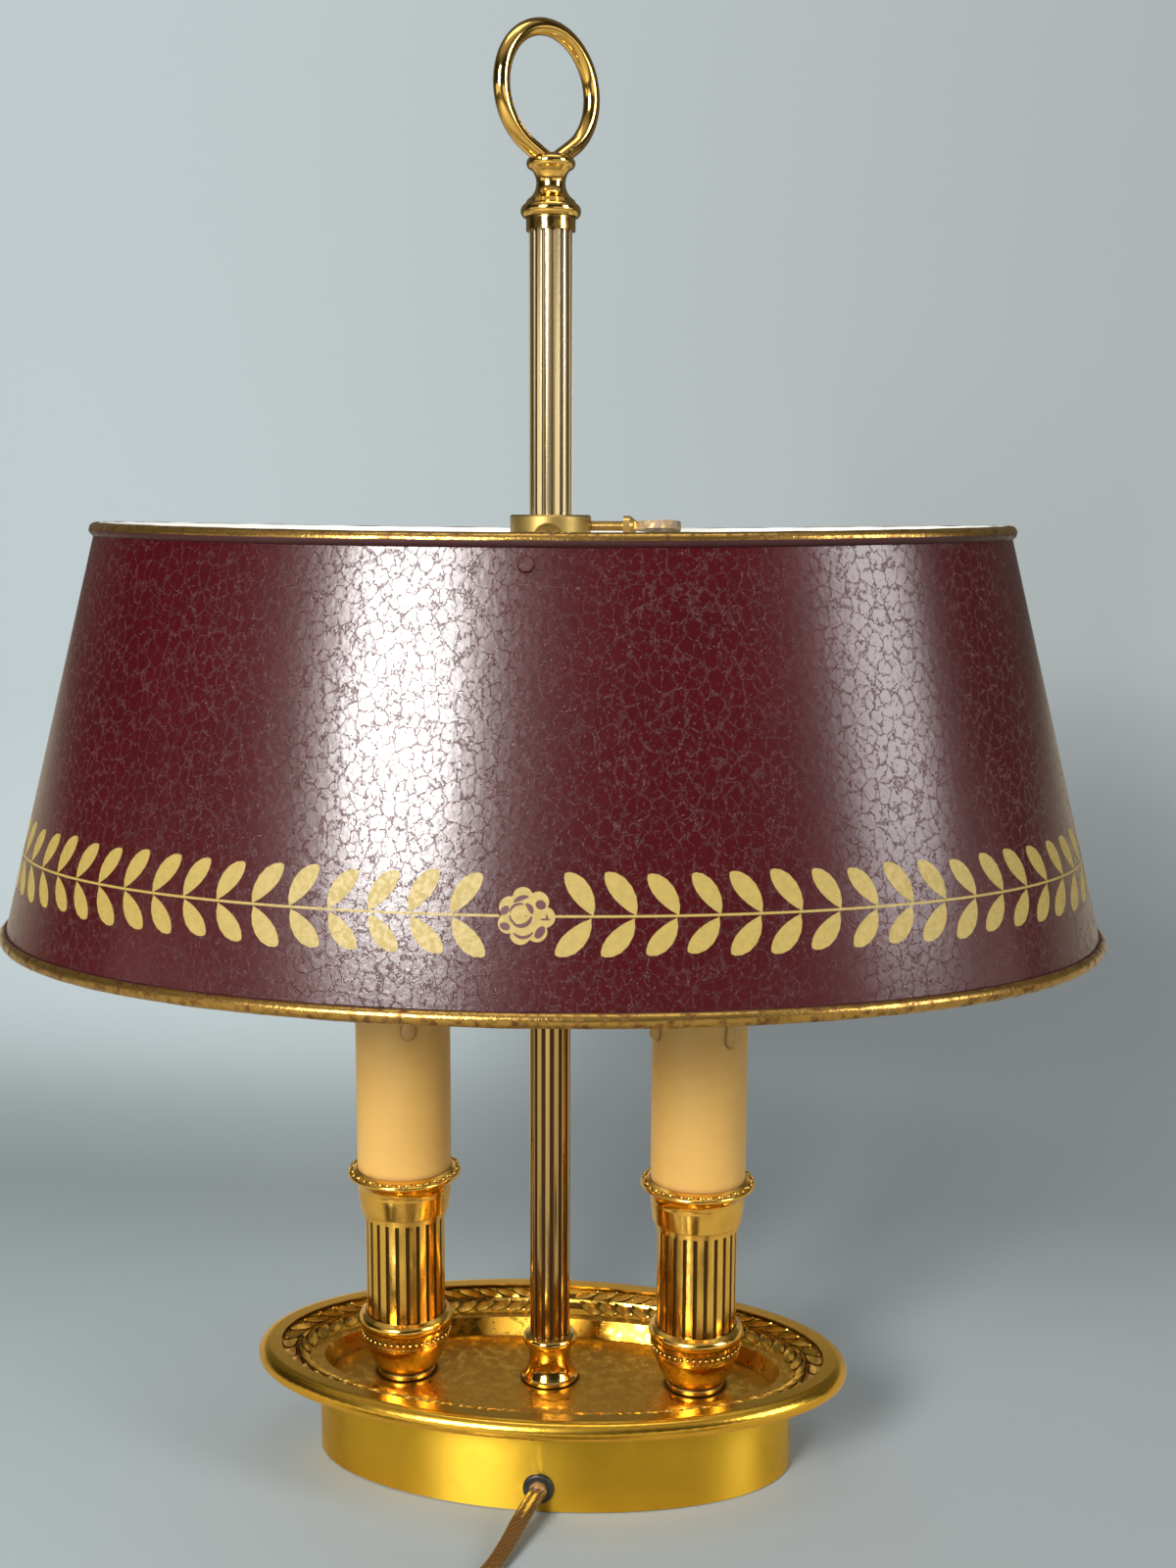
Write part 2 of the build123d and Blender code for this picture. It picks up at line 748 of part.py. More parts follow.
def make_wires(x):
    """Two wires from the terminal block over the ballast, up the nipple and into the socket."""
    side = 1 if x > 0 else -1
    with BuildPart() as wires:
        for lane in (-1, 1):
            start_x = skirt_shift + side * block_width / 2
            start_y = block_mid + lane * 2.6
            wire_x = x - side * lane * wire_spread
            with BuildLine():
                path = FilletPolyline(
                    (start_x, start_y, wire_exit_height),
                    (start_x + side * 6, start_y, wire_exit_height),
                    (start_x + side * 14, start_y + 4, wire_run_height),
                    (wire_x - side * 10, lane * wire_spread * 0.2 - 2, wire_run_height),
                    (wire_x, 0, wire_run_height),
                    (wire_x, 0, socket_top - socket_well_depth - 1),
                    radius=[2.5, 3.0, 3.0, 2.5],
                )
            with BuildSketch(Plane(origin=path @ 0, z_dir=path % 0)):
                Circle(wire_radius)
            sweep(path=path)
    return wires


for side, sign in sides.items():
    x = sign * holder_spacing / 2
    save(make_bowl(x), f"{side}_holder_bowl")
    save(make_shaft(x), f"{side}_holder_shaft")
    save(make_cup(x), f"{side}_holder_cup")
    save(make_candle(x, sign), f"{side}_candle_sleeve")
    save(make_socket(x), f"{side}_socket")
    save(make_socket_shell(x), f"{side}_socket_shell")
    save(make_bulb_cap(x), f"{side}_bulb_cap")
    save(make_bulb_glass(x), f"{side}_bulb_glass")
    save(make_wires(x), f"{side}_wires")

holder_spots = [(-holder_spacing / 2, 0), (holder_spacing / 2, 0)]
with BuildPart() as holder_nipples:
    with BuildSketch(Plane.XY.offset(tray_under - nipple_below_tray)):
        with Locations(*holder_spots):
            Circle(nipple_radius)
            Circle(nipple_bore_radius, mode=Mode.SUBTRACT)
    extrude(amount=nipple_top - tray_under + nipple_below_tray)
save(holder_nipples, "holder_nipples")

with BuildPart() as holder_nuts:
    for base in (tray_under - nipple_nut_height, shaft_top + cup_floor):
        with BuildSketch(Plane.XY.offset(base)):
            with Locations(*holder_spots):
                RegularPolygon(nipple_nut_flats / 2, 6, major_radius=False)
                Circle(nipple_radius, mode=Mode.SUBTRACT)
        extrude(amount=nipple_nut_height)
save(holder_nuts, "holder_nuts")

contact_base = socket_top - socket_well_depth
cap_tip = bulb_base - bulb_cap_length - 1.0
with BuildPart() as socket_contacts:
    with BuildSketch(Plane.XY.offset(contact_base)):
        with Locations(*holder_spots):
            Circle(contact_radius + 2)
    extrude(amount=contact_height)
    with BuildSketch(Plane.XY.offset(contact_base + contact_height)):
        with Locations(*holder_spots):
            Circle(contact_radius)
    extrude(amount=cap_tip - contact_base - contact_height)
save(socket_contacts, "socket_contacts")

# ---------------------------------------------------------------- shade
wall_lean = atan2(shade_bottom_width - shade_top_width, 2 * shade_height)
arm_end = shade_top_width / 2 + arm_end_drop * tan(wall_lean)
arm_start = collar_radius - 0.8
arm_start_height = collar_top - arm_root_drop
arm_end_height = shade_top - arm_end_drop


def wall_plane(sign):
    """Plane on the middle of the shade's wall at an arm's end, facing out."""
    outward = shade_y * (sign * cos(wall_lean)) + Vector(0, 0, sin(wall_lean))
    origin = shade_y * (sign * arm_end) + Vector(0, 0, arm_end_height)
    return Plane(origin=origin, x_dir=shade_x, z_dir=outward)


with BuildPart() as shade_shell:
    with BuildSketch(shade_plane(shade_bottom)):
        Ellipse((shade_bottom_length + shade_wall) / 2, (shade_bottom_width + shade_wall) / 2)
    with BuildSketch(shade_plane(shade_top)):
        Ellipse((shade_top_length + shade_wall) / 2, (shade_top_width + shade_wall) / 2)
    loft()
    with BuildSketch(shade_plane(shade_bottom)):
        Ellipse((shade_bottom_length - shade_wall) / 2, (shade_bottom_width - shade_wall) / 2)
    with BuildSketch(shade_plane(shade_top)):
        Ellipse((shade_top_length - shade_wall) / 2, (shade_top_width - shade_wall) / 2)
    loft(mode=Mode.SUBTRACT)
    for sign in (-1, 1):
        with BuildSketch(wall_plane(sign)):
            Circle(rivet_radius)
        extrude(amount=2 * shade_wall, both=True, mode=Mode.SUBTRACT)
save(shade_shell, "shade_shell")

with BuildPart() as shade_rivets:
    for sign in (-1, 1):
        with BuildSketch(wall_plane(sign).offset(shade_wall / 2)):
            Circle(rivet_head_radius)
        extrude(amount=rivet_head_height, taper=30)
        with BuildSketch(wall_plane(sign).offset(shade_wall / 2)):
            Circle(rivet_radius)
        extrude(amount=-(shade_wall + arm_tab_thickness + hole_gap))
        with BuildSketch(wall_plane(sign).offset(-shade_wall / 2 - arm_tab_thickness - hole_gap)):
            Circle(rivet_head_radius)
        extrude(amount=-rivet_head_height, taper=30)
save(shade_rivets, "shade_rivets")


def make_bead(height, length, width):
    """Bead rolled over the edge of the shade's wall."""
    with BuildPart() as bead:
        with BuildLine(shade_plane(height)):
            path = EllipticalCenterArc((0, 0), length / 2, width / 2, arc_size=360)
        with BuildSketch(Plane(origin=path @ 0, z_dir=path % 0)):
            Circle(bead_radius)
        sweep(path=path)
        add(shade_shell.part, mode=Mode.SUBTRACT)
    return bead


shade_top_bead = make_bead(shade_top, shade_top_length, shade_top_width)
save(shade_top_bead, "shade_top_bead")
shade_bottom_bead = make_bead(shade_bottom, shade_bottom_length, shade_bottom_width)
save(shade_bottom_bead, "shade_bottom_bead")

# ---------------------------------------------------------------- collar, its liner and the arms
screw_plane = Plane(origin=(0, 0, screw_height), x_dir=shade_y, z_dir=shade_x)
with BuildPart() as shade_collar:
    with BuildSketch(Plane.XY.offset(collar_base)):
        Circle(collar_radius)
    extrude(amount=collar_height)
    chamfer(shade_collar.edges().filter_by(GeomType.CIRCLE), length=0.5)
    with BuildSketch(Plane.XY.offset(collar_base)):
        Circle(liner_outer + running_gap)
    extrude(amount=collar_height, mode=Mode.SUBTRACT)
    with BuildSketch(screw_plane):
        Circle(screw_radius + running_gap)
    extrude(amount=collar_radius + 1, mode=Mode.SUBTRACT)
save(shade_collar, "shade_collar")

liner_seat = collar_base - running_gap
with BuildPart() as collar_liner:
    with BuildSketch(Plane.XY.offset(liner_seat)):
        Circle(liner_outer)
    extrude(amount=liner_height)
    with BuildSketch(Plane.XY.offset(liner_seat)):
        Circle(liner_outer + liner_flange)
    extrude(amount=-liner_flange_height)
    with BuildSketch(Plane.XY.offset(liner_seat - liner_flange_height)):
        Circle(column_radius + running_gap)
    extrude(amount=liner_flange_height + liner_height, mode=Mode.SUBTRACT)
save(collar_liner, "collar_liner")


def make_arm(sign):
    """Round arm from the collar down to a tab inside the shade's wall."""
    outward = shade_y * sign
    root = outward * arm_start + Vector(0, 0, arm_start_height)
    tab_plane = wall_plane(sign).offset(-shade_wall / 2 - hole_gap)
    run = tab_plane.origin - root
    with BuildPart() as arm:
        with BuildSketch(Plane(origin=root, x_dir=shade_x, z_dir=run)):
            Circle(arm_radius)
        extrude(amount=run.length - arm_tab_thickness / 2)
        with BuildSketch(Plane(origin=root, x_dir=shade_x, z_dir=outward)):
            Circle(arm_root_radius)
        extrude(amount=arm_root_thickness)
        with BuildSketch(tab_plane):
            RectangleRounded(arm_tab_width, arm_tab_height, 3)
        extrude(amount=-arm_tab_thickness)
        with BuildSketch(Plane.XY.offset(collar_base - 1)):
            Circle(collar_radius)
        extrude(amount=collar_height + 2, mode=Mode.SUBTRACT)
        add(shade_rivets.part, mode=Mode.SUBTRACT)
    return arm


save(make_arm(-1), "front_arm")
save(make_arm(1), "back_arm")

# ---------------------------------------------------------------- thumbscrew and its tip pad
pad_start = liner_outer + running_gap + 0.05
screw_tip = pad_start + screw_pad_length / 2
boss_start = collar_radius + screw_shank
boss_end = boss_start + screw_boss_length
wing_end = boss_end + screw_wing_length
pad_stem_radius = screw_radius * 0.5
with BuildPart() as thumbscrew:
    with BuildSketch(screw_plane.offset(screw_tip)):
        Circle(screw_radius)
    extrude(amount=boss_start - screw_tip)
    with BuildSketch(screw_plane.offset(boss_start)):
        Circle(screw_boss_radius)
    extrude(amount=screw_boss_length * 0.5)
    with BuildSketch(screw_plane.offset(boss_start + screw_boss_length * 0.5)):
        Circle(screw_boss_radius)
    with BuildSketch(screw_plane.offset(boss_end)):
        Circle(screw_boss_radius * 0.5)
    loft()
    wing_plane = Plane(
        origin=screw_plane.origin + shade_x * boss_start,
        x_dir=shade_x,
        z_dir=shade_y * sin(radians(screw_wing_turn)) + Vector(0, 0, cos(radians(screw_wing_turn))),
    )
    with BuildSketch(wing_plane):
        with BuildLine():
            half = screw_wing_width / 2
            neck = screw_boss_radius * 0.45
            start = screw_boss_length * 0.6
            wide = screw_boss_length + screw_wing_length * 0.45
            end = screw_boss_length + screw_wing_length
            Spline((start, neck), (wide, half), (end, 0), tangents=[(1, 0.6), (0, -1)])
            Spline((start, -neck), (wide, -half), (end, 0), tangents=[(1, -0.6), (0, 1)])
            Line((start, neck), (start, -neck))
        make_face()
    extrude(amount=screw_wing_thickness / 2, both=True)
    with BuildSketch(screw_plane.offset(screw_tip)):
        Circle(pad_stem_radius + running_gap)
    extrude(amount=screw_pad_length, mode=Mode.SUBTRACT)
save(thumbscrew, "thumbscrew")

with BuildPart() as screw_tip_pad:
    with BuildSketch(screw_plane.offset(pad_start)):
        Circle(screw_pad_radius)
    extrude(amount=screw_pad_length / 2 - running_gap)
    with BuildSketch(screw_plane.offset(pad_start)):
        Circle(pad_stem_radius)
    extrude(amount=screw_pad_length)
save(screw_tip_pad, "screw_tip_pad")

# ---------------------------------------------------------------- grommet, clamp, block, inner lead
grommet_face = skirt_front - grommet_flange
front_axis_plane = Plane(origin=(skirt_shift, 0, grommet_height), x_dir=(-1, 0, 0), z_dir=(0, 1, 0))
inner_wall = skirt_front + skirt_wall
with BuildPart() as cord_grommet:
    with BuildSketch(front_axis_plane.offset(grommet_face)):
        Circle(grommet_radius)
    extrude(amount=grommet_flange)
    fillet(cord_grommet.faces().sort_by(Axis.Y)[0].edges(), radius=grommet_flange * 0.6)
    with BuildSketch(front_axis_plane.offset(skirt_front)):
        Circle(grommet_neck_radius)
    extrude(amount=skirt_wall)
    with BuildSketch(front_axis_plane.offset(inner_wall)):
        Circle(grommet_radius)
    extrude(amount=grommet_flange)
    with BuildSketch(front_axis_plane.offset(grommet_face)):
        Circle(cord_radius)
    extrude(amount=2 * grommet_flange + skirt_wall, mode=Mode.SUBTRACT)
    add(skirt.part, mode=Mode.SUBTRACT)
save(cord_grommet, "cord_grommet")

cord_start = Vector(skirt_shift, grommet_face - 1.0, grommet_height)
cord_second = Vector(skirt_shift - 2.9, grommet_face - 10.3, grommet_height - 1.3)
cord_start_plane = Plane(origin=cord_start, z_dir=cord_start - cord_second)
with BuildPart() as inner_lead:
    with BuildSketch(front_axis_plane.offset(grommet_face - 2 * cord_radius)):
        Circle(cord_radius)
    extrude(amount=block_front - grommet_face + 2 * cord_radius)
    split(bisect_by=cord_start_plane)
save(inner_lead, "inner_lead")

clamp_front = inner_wall + clamp_inset
with BuildPart() as cord_clamp:
    with BuildSketch(Plane((skirt_shift, clamp_front + clamp_length / 2, ballast_base))):
        Rectangle(clamp_width, clamp_length)
    extrude(amount=clamp_height)
    with BuildSketch(front_axis_plane.offset(clamp_front)):
        Circle(cord_radius)
    extrude(amount=clamp_length, mode=Mode.SUBTRACT)
save(cord_clamp, "cord_clamp")

with BuildPart() as terminal_block:
    with BuildSketch(Plane((skirt_shift, block_mid, block_base))):
        Rectangle(block_width, block_length)
    extrude(amount=block_height)
    with BuildSketch(Plane((skirt_shift, block_mid, block_base + block_height))):
        with GridLocations(block_width / 2, block_length / 2, 2, 2):
            Circle(1.8)
    extrude(amount=-block_height * 0.4, mode=Mode.SUBTRACT)
save(terminal_block, "terminal_block")

# ---------------------------------------------------------------- in-line switch
half_height = switch_height / 2
switch_right = Vector(-81.5, -119.7, half_height)
switch_left = switch_right - Vector(switch_length + 2 * switch_boss_length, 0, 0)
switch_middle = (switch_right + switch_left) / 2
rocker_pivot = switch_middle + Vector(0, 0, half_height - rocker_height / 2 + rocker_proud)
rocker_slot_length = rocker_length + 4 * moving_gap
rocker_slot_width = rocker_width + 2 * moving_gap


def make_bosses(side):
    """Half of the round boss at each end of the switch, on the upper (1) or lower (-1) side."""
    with BuildPart() as bosses:
        for end, inward in ((switch_right, -1), (switch_left, 1)):
            with BuildSketch(Plane(origin=end, x_dir=(0, 1, 0), z_dir=(1, 0, 0))):
                Circle(switch_boss_radius)
                with Locations((0, -side * switch_boss_radius)):
                    Rectangle(2 * switch_boss_radius, 2 * switch_boss_radius, mode=Mode.SUBTRACT)
            extrude(amount=inward * (switch_boss_length + switch_width / 4))
    return bosses


lower_bosses = make_bosses(-1)
upper_bosses = make_bosses(1)
with BuildPart() as switch_base:
    with BuildSketch(Plane(switch_middle)):
        SlotOverall(switch_length, switch_width)
    extrude(amount=-half_height)
    fillet(switch_base.faces().sort_by(Axis.Z)[0].edges(), radius=2)
    add(lower_bosses.part)
    with BuildSketch(Plane(switch_middle)):
        SlotOverall(switch_length - 2 * switch_wall, switch_width - 2 * switch_wall)
    extrude(amount=-half_height + switch_wall, mode=Mode.SUBTRACT)
save(switch_base, "switch_base")

with BuildPart() as switch_cover:
    with BuildSketch(Plane(switch_middle)):
        SlotOverall(switch_length, switch_width)
    extrude(amount=half_height)
    fillet(switch_cover.faces().sort_by(Axis.Z)[-1].edges(), radius=2.5)
    add(upper_bosses.part)
    with BuildSketch(Plane(switch_middle)):
        SlotOverall(switch_length - 2 * switch_wall, switch_width - 2 * switch_wall)
    extrude(amount=half_height - switch_wall, mode=Mode.SUBTRACT)
    with BuildSketch(Plane(switch_middle + Vector(0, 0, half_height))):
        Rectangle(6 * rocker_pin_radius, rocker_slot_width + 3 * rocker_pin_length)
    extrude(amount=-rocker_height / 2 - 2 * rocker_pin_radius)
    with BuildSketch(Plane(switch_middle)):
        Rectangle(rocker_slot_length, rocker_slot_width)
    extrude(amount=switch_height, mode=Mode.SUBTRACT)
    with BuildSketch(Plane(origin=rocker_pivot, x_dir=(1, 0, 0), z_dir=(0, -1, 0))):
        Circle(rocker_pin_radius + running_gap)
    extrude(
        amount=rocker_slot_width / 2 + rocker_pin_length + moving_gap,
        both=True,
        mode=Mode.SUBTRACT,
    )
save(switch_cover, "switch_cover")

tilt = radians(rocker_tilt)
rocker_plane = Plane(origin=rocker_pivot, x_dir=(cos(tilt), 0, sin(tilt)), z_dir=(0, -1, 0))
with BuildPart() as switch_rocker:
    with BuildSketch(rocker_plane):
        with BuildLine():
            reach = rocker_length / 2 - 0.5
            crown = rocker_height / 2
            Polyline(
                (-reach, crown),
                (0, crown - 1.0),
                (reach, crown),
                (reach - 1.5, 0),
                (2.0, -crown),
                (-2.0, -crown),
                (1.5 - reach, 0),
                (-reach, crown),
            )
        make_face()
    extrude(amount=rocker_width / 2, both=True)
    with BuildSketch(rocker_plane):
        Circle(rocker_pin_radius)
    extrude(amount=rocker_slot_width / 2 + rocker_pin_length, both=True)
save(switch_rocker, "switch_rocker")

# ---------------------------------------------------------------- cord
# The cord lies on the table in three stretches: lamp to switch, switch to coil, coil to plug.
coil_x, coil_y = coil_centre
coil_floor = tie_wall
coil_inner = coil_radius - coil_half_width
coil_outer = coil_radius + coil_half_width
turn_radius = coil_outer - cord_radius - coil_skin
entry_height = coil_floor + cord_radius + coil_skin
exit_height = coil_floor + coil_thickness - cord_radius - coil_skin
entry_turn = Vector(coil_x, coil_y - turn_radius, entry_height)
coil_entry = entry_turn - Vector(coil_stub, 0, 0)
exit_out = Vector(cos(radians(coil_exit_angle)), sin(radians(coil_exit_angle)), 0)
exit_heading = Vector(-exit_out.Y, exit_out.X, 0)
exit_turn = Vector(coil_x, coil_y, exit_height) + exit_out * turn_radius
coil_exit = exit_turn + exit_heading * coil_stub
tail_second = coil_exit + exit_heading * 13.0
plug_back = Vector(110.8, -157.3, plug_thickness / 2)
floor_line = cord_radius
lead_points = [
    cord_start,
    cord_second,
    (-4.7, -60.4, floor_line + 1.15),
    (-8.2, -71.6, floor_line),
    (-14.8, -85.1, floor_line),
    (-24.6, -97.7, floor_line),
    (-37.3, -108.3, floor_line),
    (-52.0, -115.8, (floor_line + half_height) / 2),
    switch_right + Vector(14.0, 0, 0),
    switch_right,
]
run_points = [
    switch_left,
    switch_left - Vector(14.0, 0, 0),
    (-169.4, -126.5, (floor_line + half_height) / 2 + 0.4),
    (-178.8, -139.4, floor_line + 0.6),
    (-181.1, -155.8, floor_line),
    (-175.7, -171.4, floor_line),
    (-164.4, -182.7, floor_line),
    (-148.6, -189.1, floor_line),
    (-126.7, -191.0, floor_line),
    (-98.8, -189.0, floor_line),
    (-68.1, -184.7, floor_line),
    (-38.1, -183.6, floor_line),
    coil_entry - Vector(14.0, 0, 0),
    coil_entry,
]
tail_points = [
    coil_exit,
    tail_second,
    (84.8, -158.3, (exit_height + plug_back.Z) / 2),
    plug_back - Vector(12.0, 0, 0),
    plug_back,
]


def cord_path_radii(points):
    """One radius for each corner: as large as its two runs allow."""
    corners = [Vector(p) for p in points]
    radii = []
    for before, corner, after in zip(corners, corners[1:], corners[2:]):
        turn = radians((corner - before).get_angle(after - corner))
        shorter = min((corner - before).length, (after - corner).length)
        radii.append(0.45 * shorter / tan(turn / 2))
    return radii


def make_cord(points, name):
    """A round tube along straight runs that are joined by tangent arcs."""
    radii = cord_path_radii(points)
    with BuildPart() as cord:
        with BuildLine():
            path = FilletPolyline(*points, radius=radii)
        with BuildSketch(Plane(origin=path @ 0, z_dir=path % 0)):
            Circle(cord_radius)
        sweep(path=path)
    expected = pi * cord_radius**2 * path.length
    print(name, "length", round(path.length, 1), "volume ratio", round(cord.part.volume / expected, 4))
    print(name, "radii", [round(r, 1) for r in radii])
    return cord


cord_lead = make_cord(lead_points, "cord_lead")
save(cord_lead, "cord_lead")
cord_run = make_cord(run_points, "cord_run")
save(cord_run, "cord_run")
cord_tail = make_cord(tail_points, "cord_tail")
save(cord_tail, "cord_tail")

with BuildPart() as cord_coil:
    with BuildSketch(Plane((coil_x, coil_y, coil_floor))):
        Circle(coil_outer)
        Circle(coil_inner, mode=Mode.SUBTRACT)
    extrude(amount=coil_thickness)
    chamfer(cord_coil.faces().sort_by(Axis.Z)[-1].edges(), length=1.6)
    for turn_point, heading in ((entry_turn, Vector(-1, 0, 0)), (exit_turn, exit_heading)):
        with BuildSketch(Plane(origin=turn_point, z_dir=heading)):
            Circle(cord_radius)
        extrude(amount=coil_stub)
save(cord_coil, "cord_coil")

tie_turn = radians(tie_angle)
tie_out = Vector(cos(tie_turn), sin(tie_turn), 0)
with BuildPart() as coil_tie:
    tie_middle = Vector(coil_x, coil_y, 0) + tie_out * coil_radius
    with BuildSketch(Plane(origin=tie_middle, x_dir=tie_out, z_dir=(0, 0, 1))):
        Rectangle(2 * (coil_half_width + tie_wall), tie_width)
    extrude(amount=coil_thickness + 2 * tie_wall)
    add(cord_coil.part, mode=Mode.SUBTRACT)
save(coil_tie, "coil_tie")

# ---------------------------------------------------------------- plug
plug_plane = Plane(origin=plug_back, x_dir=(0, 1, 0), z_dir=(1, 0, 0))
with BuildPart() as plug_body:
    with BuildSketch(plug_plane):
        RectangleRounded(plug_width * 0.45, plug_thickness * 0.8, 3)
    with BuildSketch(plug_plane.offset(plug_nose)):
        RectangleRounded(plug_width, plug_thickness, 4)
    loft()
    with BuildSketch(plug_plane.offset(plug_nose)):
        RectangleRounded(plug_width, plug_thickness, 4)
    extrude(amount=plug_length - plug_nose)
save(plug_body, "plug_body")

with BuildPart() as plug_pins:
    with BuildSketch(plug_plane.offset(plug_length)):
        with GridLocations(pin_spacing, 1, 2, 1):
            Circle(pin_radius)
    extrude(amount=pin_length)
    fillet(plug_pins.faces().group_by(Axis.X)[-1].edges(), radius=1.0)
save(plug_pins, "plug_pins")
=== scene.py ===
"""Looks of a two-light bouillotte lamp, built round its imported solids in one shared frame.

Everything is in metres. +X runs along the long axis of the oval base, -Y is the front, where the
cord leaves, and +Z is up. The origin lies on the column's axis, on the surface the lamp stands on.
"""

import logging
import math
from bisect import bisect_right
from collections.abc import Callable, Sequence
from dataclasses import dataclass, field, replace
from enum import Enum

import bmesh
import bpy
from mathutils import Matrix, Vector


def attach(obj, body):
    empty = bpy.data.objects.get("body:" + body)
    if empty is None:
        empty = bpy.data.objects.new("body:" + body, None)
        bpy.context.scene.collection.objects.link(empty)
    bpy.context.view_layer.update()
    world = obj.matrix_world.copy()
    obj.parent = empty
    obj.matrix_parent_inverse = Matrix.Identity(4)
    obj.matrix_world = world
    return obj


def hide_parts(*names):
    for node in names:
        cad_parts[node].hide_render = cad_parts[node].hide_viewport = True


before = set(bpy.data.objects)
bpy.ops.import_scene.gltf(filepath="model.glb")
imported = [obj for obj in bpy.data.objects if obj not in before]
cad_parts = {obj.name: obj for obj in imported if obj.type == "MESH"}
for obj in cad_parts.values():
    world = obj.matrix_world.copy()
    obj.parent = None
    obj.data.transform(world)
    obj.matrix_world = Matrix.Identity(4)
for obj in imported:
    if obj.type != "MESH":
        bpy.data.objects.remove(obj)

log = logging.getLogger("bouillotte_lamp")

MM = 0.001
UP = Vector((0.0, 0.0, 1.0))
FULL_TURN = 2.0 * math.pi
MERGED_WITHIN = 1e-6  # vertices nearer to each other than this are one
SHADE_TURN = 2.9  # how far the shade and its screw sit turned on the column, in degrees
HOLDER_X = 47.1 * MM  # where the candle holders' axes stand, left and right

Colour = tuple[float, float, float]
Point = tuple[float, float, float]
Span = tuple[float, float]
Values = dict[int | str, object]
Socket = bpy.types.NodeSocket
Node = bpy.types.Node
BMesh = bmesh.types.BMesh
BMVert = bmesh.types.BMVert
OnBand = Callable[[float, float, float], Vector]


class Body(Enum):
    """Moving bodies that the pieces below ride on."""

    BASE = "base"
    SHADE = "shade"


class Grain(Enum):
    """Direction of the tool marks in a metal, as how much each axis is stretched."""

    NONE = (1.0, 1.0, 1.0)
    TURNED = (0.02, 0.02, 1.0)
    BRUSHED = (0.05, 0.05, 1.0)
    CAST = (1.0, 1.0, 0.9)


# ---------- shader wiring
class Wiring:
    """Adds shader nodes to one node tree and joins them."""

    def __init__(self, tree: bpy.types.NodeTree) -> None:
        """Takes the tree that the nodes go into."""
        self.tree = tree

    def node(self, kind: str, inputs: Values | None = None, **settings: object) -> Node:
        """Adds a node.

        Args:
            kind: Blender's name of the node type.
            inputs: what goes into its sockets; see feed.
            settings: the node's own options.

        Returns:
            The new node.
        """
        made = self.tree.nodes.new(kind)
        for key, value in settings.items():
            setattr(made, key, value)
        self.feed(made, inputs or {})
        return made

    def feed(self, node: Node, inputs: Values) -> None:
        """Fills a node's sockets.

        Args:
            node: the node.
            inputs: for each socket, another node's socket to link or a plain value; a colour has full cover.
        """
        for key, value in inputs.items():
            socket = node.inputs[key]
            if isinstance(value, Socket):
                self.tree.links.new(value, socket)
            else:
                socket.default_value = (*value, 1.0) if socket.type == "RGBA" else value

    def maths(self, operation: str, first: object, second: object, clamp: bool = False) -> Socket:
        """Returns the result of one sum of two values or sockets."""
        inputs = {0: first, 1: second}
        return self.node("ShaderNodeMath", inputs, operation=operation, use_clamp=clamp).outputs[0]

    def times(self, first: object, second: object) -> Socket:
        """Returns the product of two values or sockets."""
        return self.maths("MULTIPLY", first, second)

    def vector(self, operation: str, first: object, second: object) -> Socket:
        """Returns the result of one sum of two vectors."""
        return self.node("ShaderNodeVectorMath", {0: first, 1: second}, operation=operation).outputs[0]

    def ramp(self, value: Socket, low: object, high: object, start: float = 0.0, end: float = 1.0) -> Socket:
        """Returns value spread smoothly from start at low to end at high, and flat beyond."""
        inputs = {0: value, 1: low, 2: high, 3: start, 4: end}
        return self.node("ShaderNodeMapRange", inputs, interpolation_type="SMOOTHSTEP").outputs[0]

    def blend(self, share: object, first: object, second: object, how: str = "MIX") -> Socket:
        """Returns the colour between first and second at that share."""
        inputs = {0: share, 6: first, 7: second}
        return self.node("ShaderNodeMix", inputs, data_type="RGBA", blend_type=how).outputs[2]

    def noise(self, where: Socket, scale: object, detail: float, roughness: float = 0.5) -> Node:
        """Adds a cloudy noise that is read at those places."""
        inputs = {"Vector": where, "Scale": scale, "Detail": detail, "Roughness": roughness}
        return self.node("ShaderNodeTexNoise", inputs)

    def places(self) -> Socket:
        """Returns the object coordinates, which are the lamp's own."""
        return self.node("ShaderNodeTexCoord").outputs["Object"]

    def axes(self, spot: Socket) -> tuple[Socket, ...]:
        """Returns the X, Y and Z of a vector."""
        return tuple(self.node("ShaderNodeSeparateXYZ", {0: spot}).outputs)

    def stretched(self, scale: object) -> Socket:
        """Returns the object coordinates multiplied by scale, axis by axis."""
        return self.vector("MULTIPLY", self.places(), scale)

    def from_axis(self, x: float = 0.0) -> Socket:
        """Returns the distance from the upright axis that stands at x.

        Args:
            x: where the axis stands, in metres.

        Returns:
            The level distance, in metres.
        """
        spot = self.vector("SUBTRACT", self.places(), (x, 0.0, 0.0))
        level = self.vector("MULTIPLY", spot, (1.0, 1.0, 0.0))
        return self.node("ShaderNodeVectorMath", {0: level}, operation="LENGTH").outputs["Value"]

    def bump(self, height: Socket, depth: float, below: Socket | None = None) -> Socket:
        """Turns a height into a normal.

        Args:
            height: the relief, from 0 to 1.
            depth: what 1 stands for, in metres.
            below: the normal of a relief that lies under this one.

        Returns:
            The normal.
        """
        inputs: Values = {"Strength": 1.0, "Distance": depth, "Height": height}
        if below is not None:
            inputs["Normal"] = below
        return self.node("ShaderNodeBump", inputs).outputs["Normal"]


class Skin(Wiring):
    """Nodes of one material, with its shader."""

    def __init__(self, tree: bpy.types.NodeTree) -> None:
        """Clears the tree and adds the shader."""
        super().__init__(tree)
        tree.nodes.clear()
        self.shader = self.node("ShaderNodeBsdfPrincipled")


